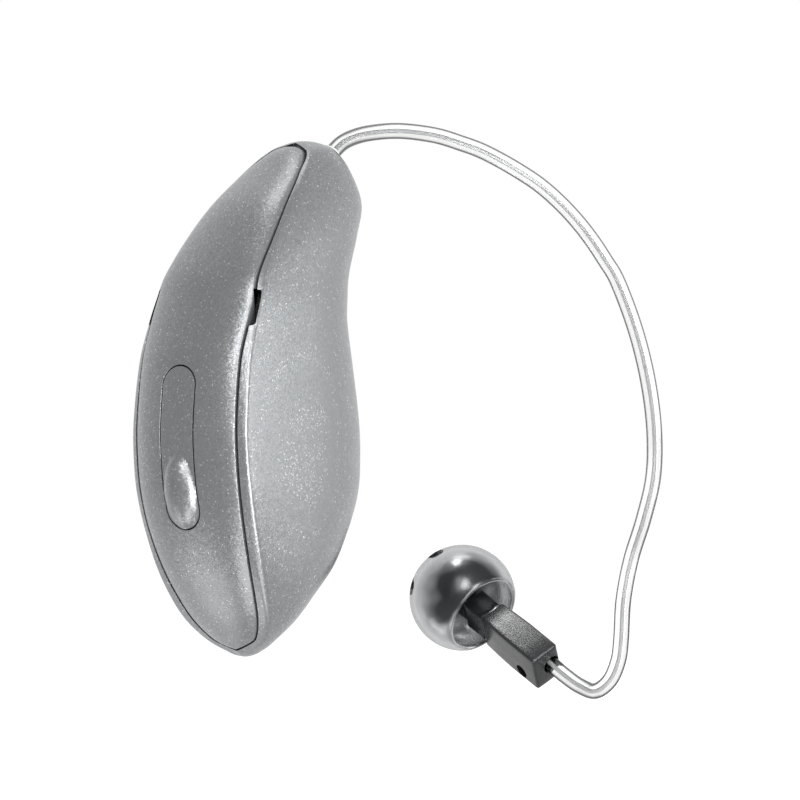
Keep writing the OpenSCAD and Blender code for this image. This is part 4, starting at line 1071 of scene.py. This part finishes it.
class HEARINGAID_OT_receiver(bpy.types.Operator):
    """Makes the receiver's shell and its glossy nose"""
    bl_idname = "hearing_aid.receiver"
    bl_label = "Receiver"

    def execute(self, context):
        s, wire = context.scene.hearing_aid_receiver, context.scene.hearing_aid_wire
        colours = context.scene.hearing_aid_colours
        bevel = s.width * 0.3
        rows = []
        # Share of the length, then width, height and corner as shares
        for z, wide, tall, corner in ((0, 1, 1, 1), (0.25, 1, 1, 1), (0.5, 1, 1, 1),
                                      (0.75, 0.955, 0.985, 0.75), (1, 0.88, 0.96, 0.5)):
            ring = shell_outline(s.width * wide, s.height * tall, bevel * corner, s.crown,
                                 s.width * 0.6)
            rows.append([Vector((p.x, p.y, z * s.length)) for p in ring])
        bm = bmesh.new()
        loft(bm, rows, closed=True)
        fill(bm)

        def front_edges(angle):
            return [e for e in bm.edges if min(v.co.z for v in e.verts) > s.length - 1e-6
                    and e.calc_face_angle(0) > math.radians(angle)]

        long_edges = [e for e in bm.edges if e.calc_face_angle(0) > math.radians(20)]
        rear = [e for e in long_edges if max(v.co.z for v in e.verts) < 1e-6]
        front = front_edges(20)
        sides = [e for e in long_edges if e not in rear and e not in front]
        soften(bm, sides + rear, 0.17 * MM, 4)
        soften(bm, front_edges(40), 0.05 * MM, 2)
        close_up(bm, SHARP_RECEIVER)
        shell = finished(moved(bm, RECEIVER_PLACE), "receiver_case")

        nose_w, nose_h = s.width * 0.8, s.height * 0.85
        room = (nose_w - 2 * s.wall, nose_h - 2 * s.wall)
        turn = Matrix.Rotation(math.pi / 2, 4, "Y")
        bm = rod(s.retention / 2, 2 * s.width, turn, 48)
        tail_y = s.height / 2 - s.retention / 2 - 0.8 * MM / 6
        bmesh.ops.translate(bm, verts=bm.verts, vec=(0, tail_y, s.length * 0.295))
        tools = [
            receiver_rod(wire.diameter + 0.2 * MM, -1 * MM, s.wall * 3, "entry_tool",
                         (s.width / 6, 0)),
            finished(moved(bm, RECEIVER_PLACE), "retention_tool"),
            receiver_box(*room, s.length * 0.47 - s.wall / 3, s.length + 1 * MM,
                         "driver_room_tool"),
            receiver_rod(wire.diameter / 3, 0, s.length / 2, "channel_tool",
                         (s.width / 12, -s.height / 8)),
        ]
        cut(shell, tools, angle=SHARP_RECEIVER)
        # Spark-eroded black polyamide: a fine even grain of 0.07 mm that turns a lamp into a soft
        # speckled patch
        textured = moulded("textured black polyamide", colours.shell, 0.27, 0.07 * MM, 0.014 * MM,
                           tone=0.3, specular=0.8)
        dress(shell, "wire_assembly", textured, slot="receiver_plastic",
              replaces=("receiver_shell",))

        bm = block((nose_w, nose_h, s.nose), (0, 0, s.length + s.nose / 2))
        soften(bm, [e for e in bm.edges if max(v.co.z for v in e.verts) > s.length + s.nose / 2],
               0.22 * MM, 5)
        close_up(bm, SHARP_RECEIVER)
        nose = finished(moved(bm, RECEIVER_PLACE), "receiver_snout")
        driver_to = s.length + s.nose * 0.8 + s.wall / 3
        cut(nose, [receiver_box(*room, s.length - 1 * MM, driver_to, "driver_room_tool"),
                   receiver_rod(s.bore, s.length, s.length + 2 * s.nose, "bore_tool")],
            angle=SHARP_RECEIVER)
        # Polished black polyamide: mirror-smooth, so it shows sharp white lamp edges
        polished = moulded("polished black polyamide", colours.nose, 0.1, 0.5 * MM, 0.002 * MM,
                           coat=0.6)
        dress(nose, "wire_assembly", polished, slot="nose_gloss", replaces=("receiver_nose",))
        return {"FINISHED"}


def silicone_with_painted_shade(colours):
    """Smoked silicone from a polished mould: light comes through its thin wall and its skin
    mirrors the lamps.
    Its colour holds painted light and shade: darker face on, lighter on the slopes, darker at the
    rim."""
    made, tree, place = new_material("smoked silicone")
    facing = add_node(tree, "ShaderNodeLayerWeight", {"Blend": 0.5}).outputs["Facing"]
    # The smoke drifts over 1.6 mm, and moves the painted light and shade about
    smoke = noise(tree, place, 1.6 * MM, 1.0)
    seen = maths(tree, "ADD", facing, maths(tree, "MULTIPLY_ADD", smoke, 0.9, -0.45))
    # Painted shade and light: darker where the wall is seen face on, a painted sheen lighter than
    # the dome's own colour on the slopes, and darker again at the rim seen edge on
    body = mixed(tree, ranged(tree, seen, 0.0, 1.0, 0.1, 0.42), rgba(linear("#4A4B4D")),
                 shade(colours.dome, 1.6))
    edge = ranged(tree, facing, 0.0, 1.0, 0.6, 0.92)
    add_skin(tree, {
        "Base Color": mixed(tree, edge, body, rgba(linear("#303133"))),
        "Roughness": ranged(tree, smoke, 0.18, 0.32), "Metallic": 0.5,
        "Transmission Weight": 1.0, "IOR": 1.45, "Coat Weight": 0.8, "Coat Roughness": 0.28})
    return made


class HEARINGAID_OT_dome(bpy.types.Operator):
    """Makes the smoked silicone dome with its vents, sleeve and inward mouth"""
    bl_idname = "hearing_aid.dome"
    bl_label = "Ear dome"

    def execute(self, context):
        s, receiver = context.scene.hearing_aid_dome, context.scene.hearing_aid_receiver
        r, bore = s.diameter / 2, receiver.nozzle / 2 + 0.04 * MM
        sleeve = s.wall * 1.5
        tip = math.asin((bore + sleeve) / r)
        mouth = math.pi - math.asin(s.mouth / s.diameter)
        tip_z = r * math.cos(tip)
        sleeve_to = tip_z - receiver.nozzle_length * 0.75

        def arc(radius, start, end, steps=40):
            angles = [blend(start, end, i / steps) for i in range(steps + 1)]
            return [(radius * math.sin(a), radius * math.cos(a)) for a in angles]

        mouth_r, mouth_z = r * math.sin(mouth), r * math.cos(mouth)
        profile = [
            (bore, sleeve_to), (bore, tip_z - 0.06 * MM), (bore + 0.06 * MM, tip_z + 0.02 * MM),
            (bore + sleeve * 0.6, tip_z + 0.03 * MM),
            *arc(r, tip + 0.04, mouth - 0.05),
            (mouth_r - 0.03 * MM, mouth_z + 0.01 * MM), (mouth_r - 0.14 * MM, mouth_z + 0.02 * MM),
            (mouth_r - 0.2 * MM, mouth_z + 0.1 * MM),
            *arc(r - s.wall, mouth - 0.09, tip + 0.05),
            (bore + sleeve, tip_z - 0.5 * MM), (bore + sleeve, sleeve_to + 0.05 * MM),
            (bore + sleeve - 0.05 * MM, sleeve_to),
        ]
        place = RECEIVER_PLACE @ Matrix.Translation((0, 0, s.centre))
        dome = finished(moved(spun(profile, 96, True, SHARP_ROUND), place), "silicone_dome")

        tools = []
        lean = Matrix.Rotation(math.radians(50), 4, "Y")
        for k in range(s.vents):
            bm = rod(s.vent_width / 2, r, Matrix.Translation((0, 0, r * 1.25)))
            for vert in bm.verts:
                vert.co.x += math.copysign(s.vent_width / 4, vert.co.x)
            turn = Matrix.Rotation(2 * math.pi * (k + 0.5) / s.vents, 4, "Z")
            tools.append(finished(moved(bm, place @ turn @ lean), "vent_tool"))
        cut(dome, tools, angle=SHARP_ROUND)
        dress(dome, "dome", silicone_with_painted_shade(context.scene.hearing_aid_colours),
              slot="dome_silicone", replaces=("ear_dome",))
        return {"FINISHED"}


# Finishes of the CAD nodes that stay: common name, colour, roughness, grain and relief in
# millimetres, metallic, the nodes
INNER_FINISHES = (
    ("moulded black liquid crystal polymer", "#26282B", 0.5, 0.12, 0.01, 0.0,
     ("chassis", "switch_base", "wire_socket", "sound_nozzle")),
    ("black silicone rubber", "#1F2022", 0.7, 0.1, 0.01, 0.0,
     ("button_gasket", "front_mic_boot", "rear_mic_boot", "plug_seal", "driver_mount")),
    ("ground stainless steel", "#B9BBBD", 0.28, 0.06, 0.003, 1.0, ("hinge_pin", "snap_disc")),
    ("nickel plated steel", "#C9C8C3", 0.22, 0.3, 0.002, 1.0,
     ("battery_cell", "front_microphone", "rear_microphone", "receiver_driver")),
    ("hard gold plating", "#E2B765", 0.25, 0.2, 0.002, 1.0,
     ("positive_tab", "negative_tab", "socket_contacts", "plug_rings", "driver_pads",
      "antenna_strip")),
    ("moulded ivory acetal", "#E9E6DA", 0.4, 0.1, 0.004, 0.0,
     ("switch_plunger", "wire_plug", "wax_guard")),
    ("sintered ferrite", "#2E2C2B", 0.55, 0.05, 0.006, 0.0, ("ferrite_sheet",)),
    ("enamelled copper winding", "#B5632F", 0.3, 0.07, 0.02, 0.9, ("charging_coil", "telecoil")),
    ("green solder resist", "#1E5B3A", 0.3, 0.4, 0.004, 0.0, ("main_board",)),
    ("black epoxy moulding", "#202225", 0.55, 0.05, 0.004, 0.0,
     ("processor_chip", "radio_chip", "memory_chip", "power_chip")),
    ("woven steel screen", "#6F7174", 0.35, 0.05, 0.03, 1.0, ("mic_screens", "wax_screen")),
)


class HEARINGAID_OT_inner_parts(bpy.types.Operator):
    """Gives the pieces inside the housing and receiver their finishes"""
    bl_idname = "hearing_aid.inner_parts"
    bl_label = "Inner pieces"

    def execute(self, context):
        for name, code, roughness, grain, relief, metallic, nodes in INNER_FINISHES:
            finish = moulded(name, linear(code), roughness, grain * MM, relief * MM,
                             metallic=metallic)
            for node_name in nodes:
                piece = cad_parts[node_name]
                piece.data.materials.clear()
                piece.data.materials.append(finish)
        return {"FINISHED"}


class HEARINGAID_PT_panel(bpy.types.Panel):
    """Lists the pieces of the hearing aid and their sizes"""
    bl_idname = "HEARINGAID_PT_panel"
    bl_label = "Hearing aid"
    bl_space_type = "VIEW_3D"
    bl_region_type = "UI"
    bl_category = "Hearing aid"

    def draw(self, context):
        for operator in OPERATORS:
            self.layout.operator(operator.bl_idname)
        for name in GROUPS:
            box = self.layout.box()
            group = getattr(context.scene, name)
            for prop in group.bl_rna.properties:
                if prop.identifier not in ("rna_type", "name"):
                    box.prop(group, prop.identifier)


GROUPS = {
    "hearing_aid_housing": HearingAidHousing,
    "hearing_aid_button": HearingAidButton,
    "hearing_aid_wire": HearingAidWire,
    "hearing_aid_receiver": HearingAidReceiver,
    "hearing_aid_dome": HearingAidDome,
    "hearing_aid_colours": HearingAidColours,
}
OPERATORS = (HEARINGAID_OT_stage, HEARINGAID_OT_wire, HEARINGAID_OT_housing, HEARINGAID_OT_cover,
             HEARINGAID_OT_button, HEARINGAID_OT_receiver, HEARINGAID_OT_dome,
             HEARINGAID_OT_inner_parts)


def register():
    for name, group in GROUPS.items():
        bpy.utils.register_class(group)
        setattr(bpy.types.Scene, name, PointerProperty(type=group))
    for operator in OPERATORS:
        bpy.utils.register_class(operator)
    bpy.utils.register_class(HEARINGAID_PT_panel)


def unregister():
    bpy.utils.unregister_class(HEARINGAID_PT_panel)
    for operator in reversed(OPERATORS):
        bpy.utils.unregister_class(operator)
    for name, group in reversed(GROUPS.items()):
        delattr(bpy.types.Scene, name)
        bpy.utils.unregister_class(group)


def main():
    register()
    bpy.context.scene.view_settings.view_transform = "Standard"
    bpy.ops.hearing_aid.stage()
    bpy.ops.hearing_aid.wire()
    bpy.ops.hearing_aid.housing()
    bpy.ops.hearing_aid.cover()
    bpy.ops.hearing_aid.button()
    bpy.ops.hearing_aid.receiver()
    bpy.ops.hearing_aid.dome()
    bpy.ops.hearing_aid.inner_parts()


if __name__ == "__main__":
    main()
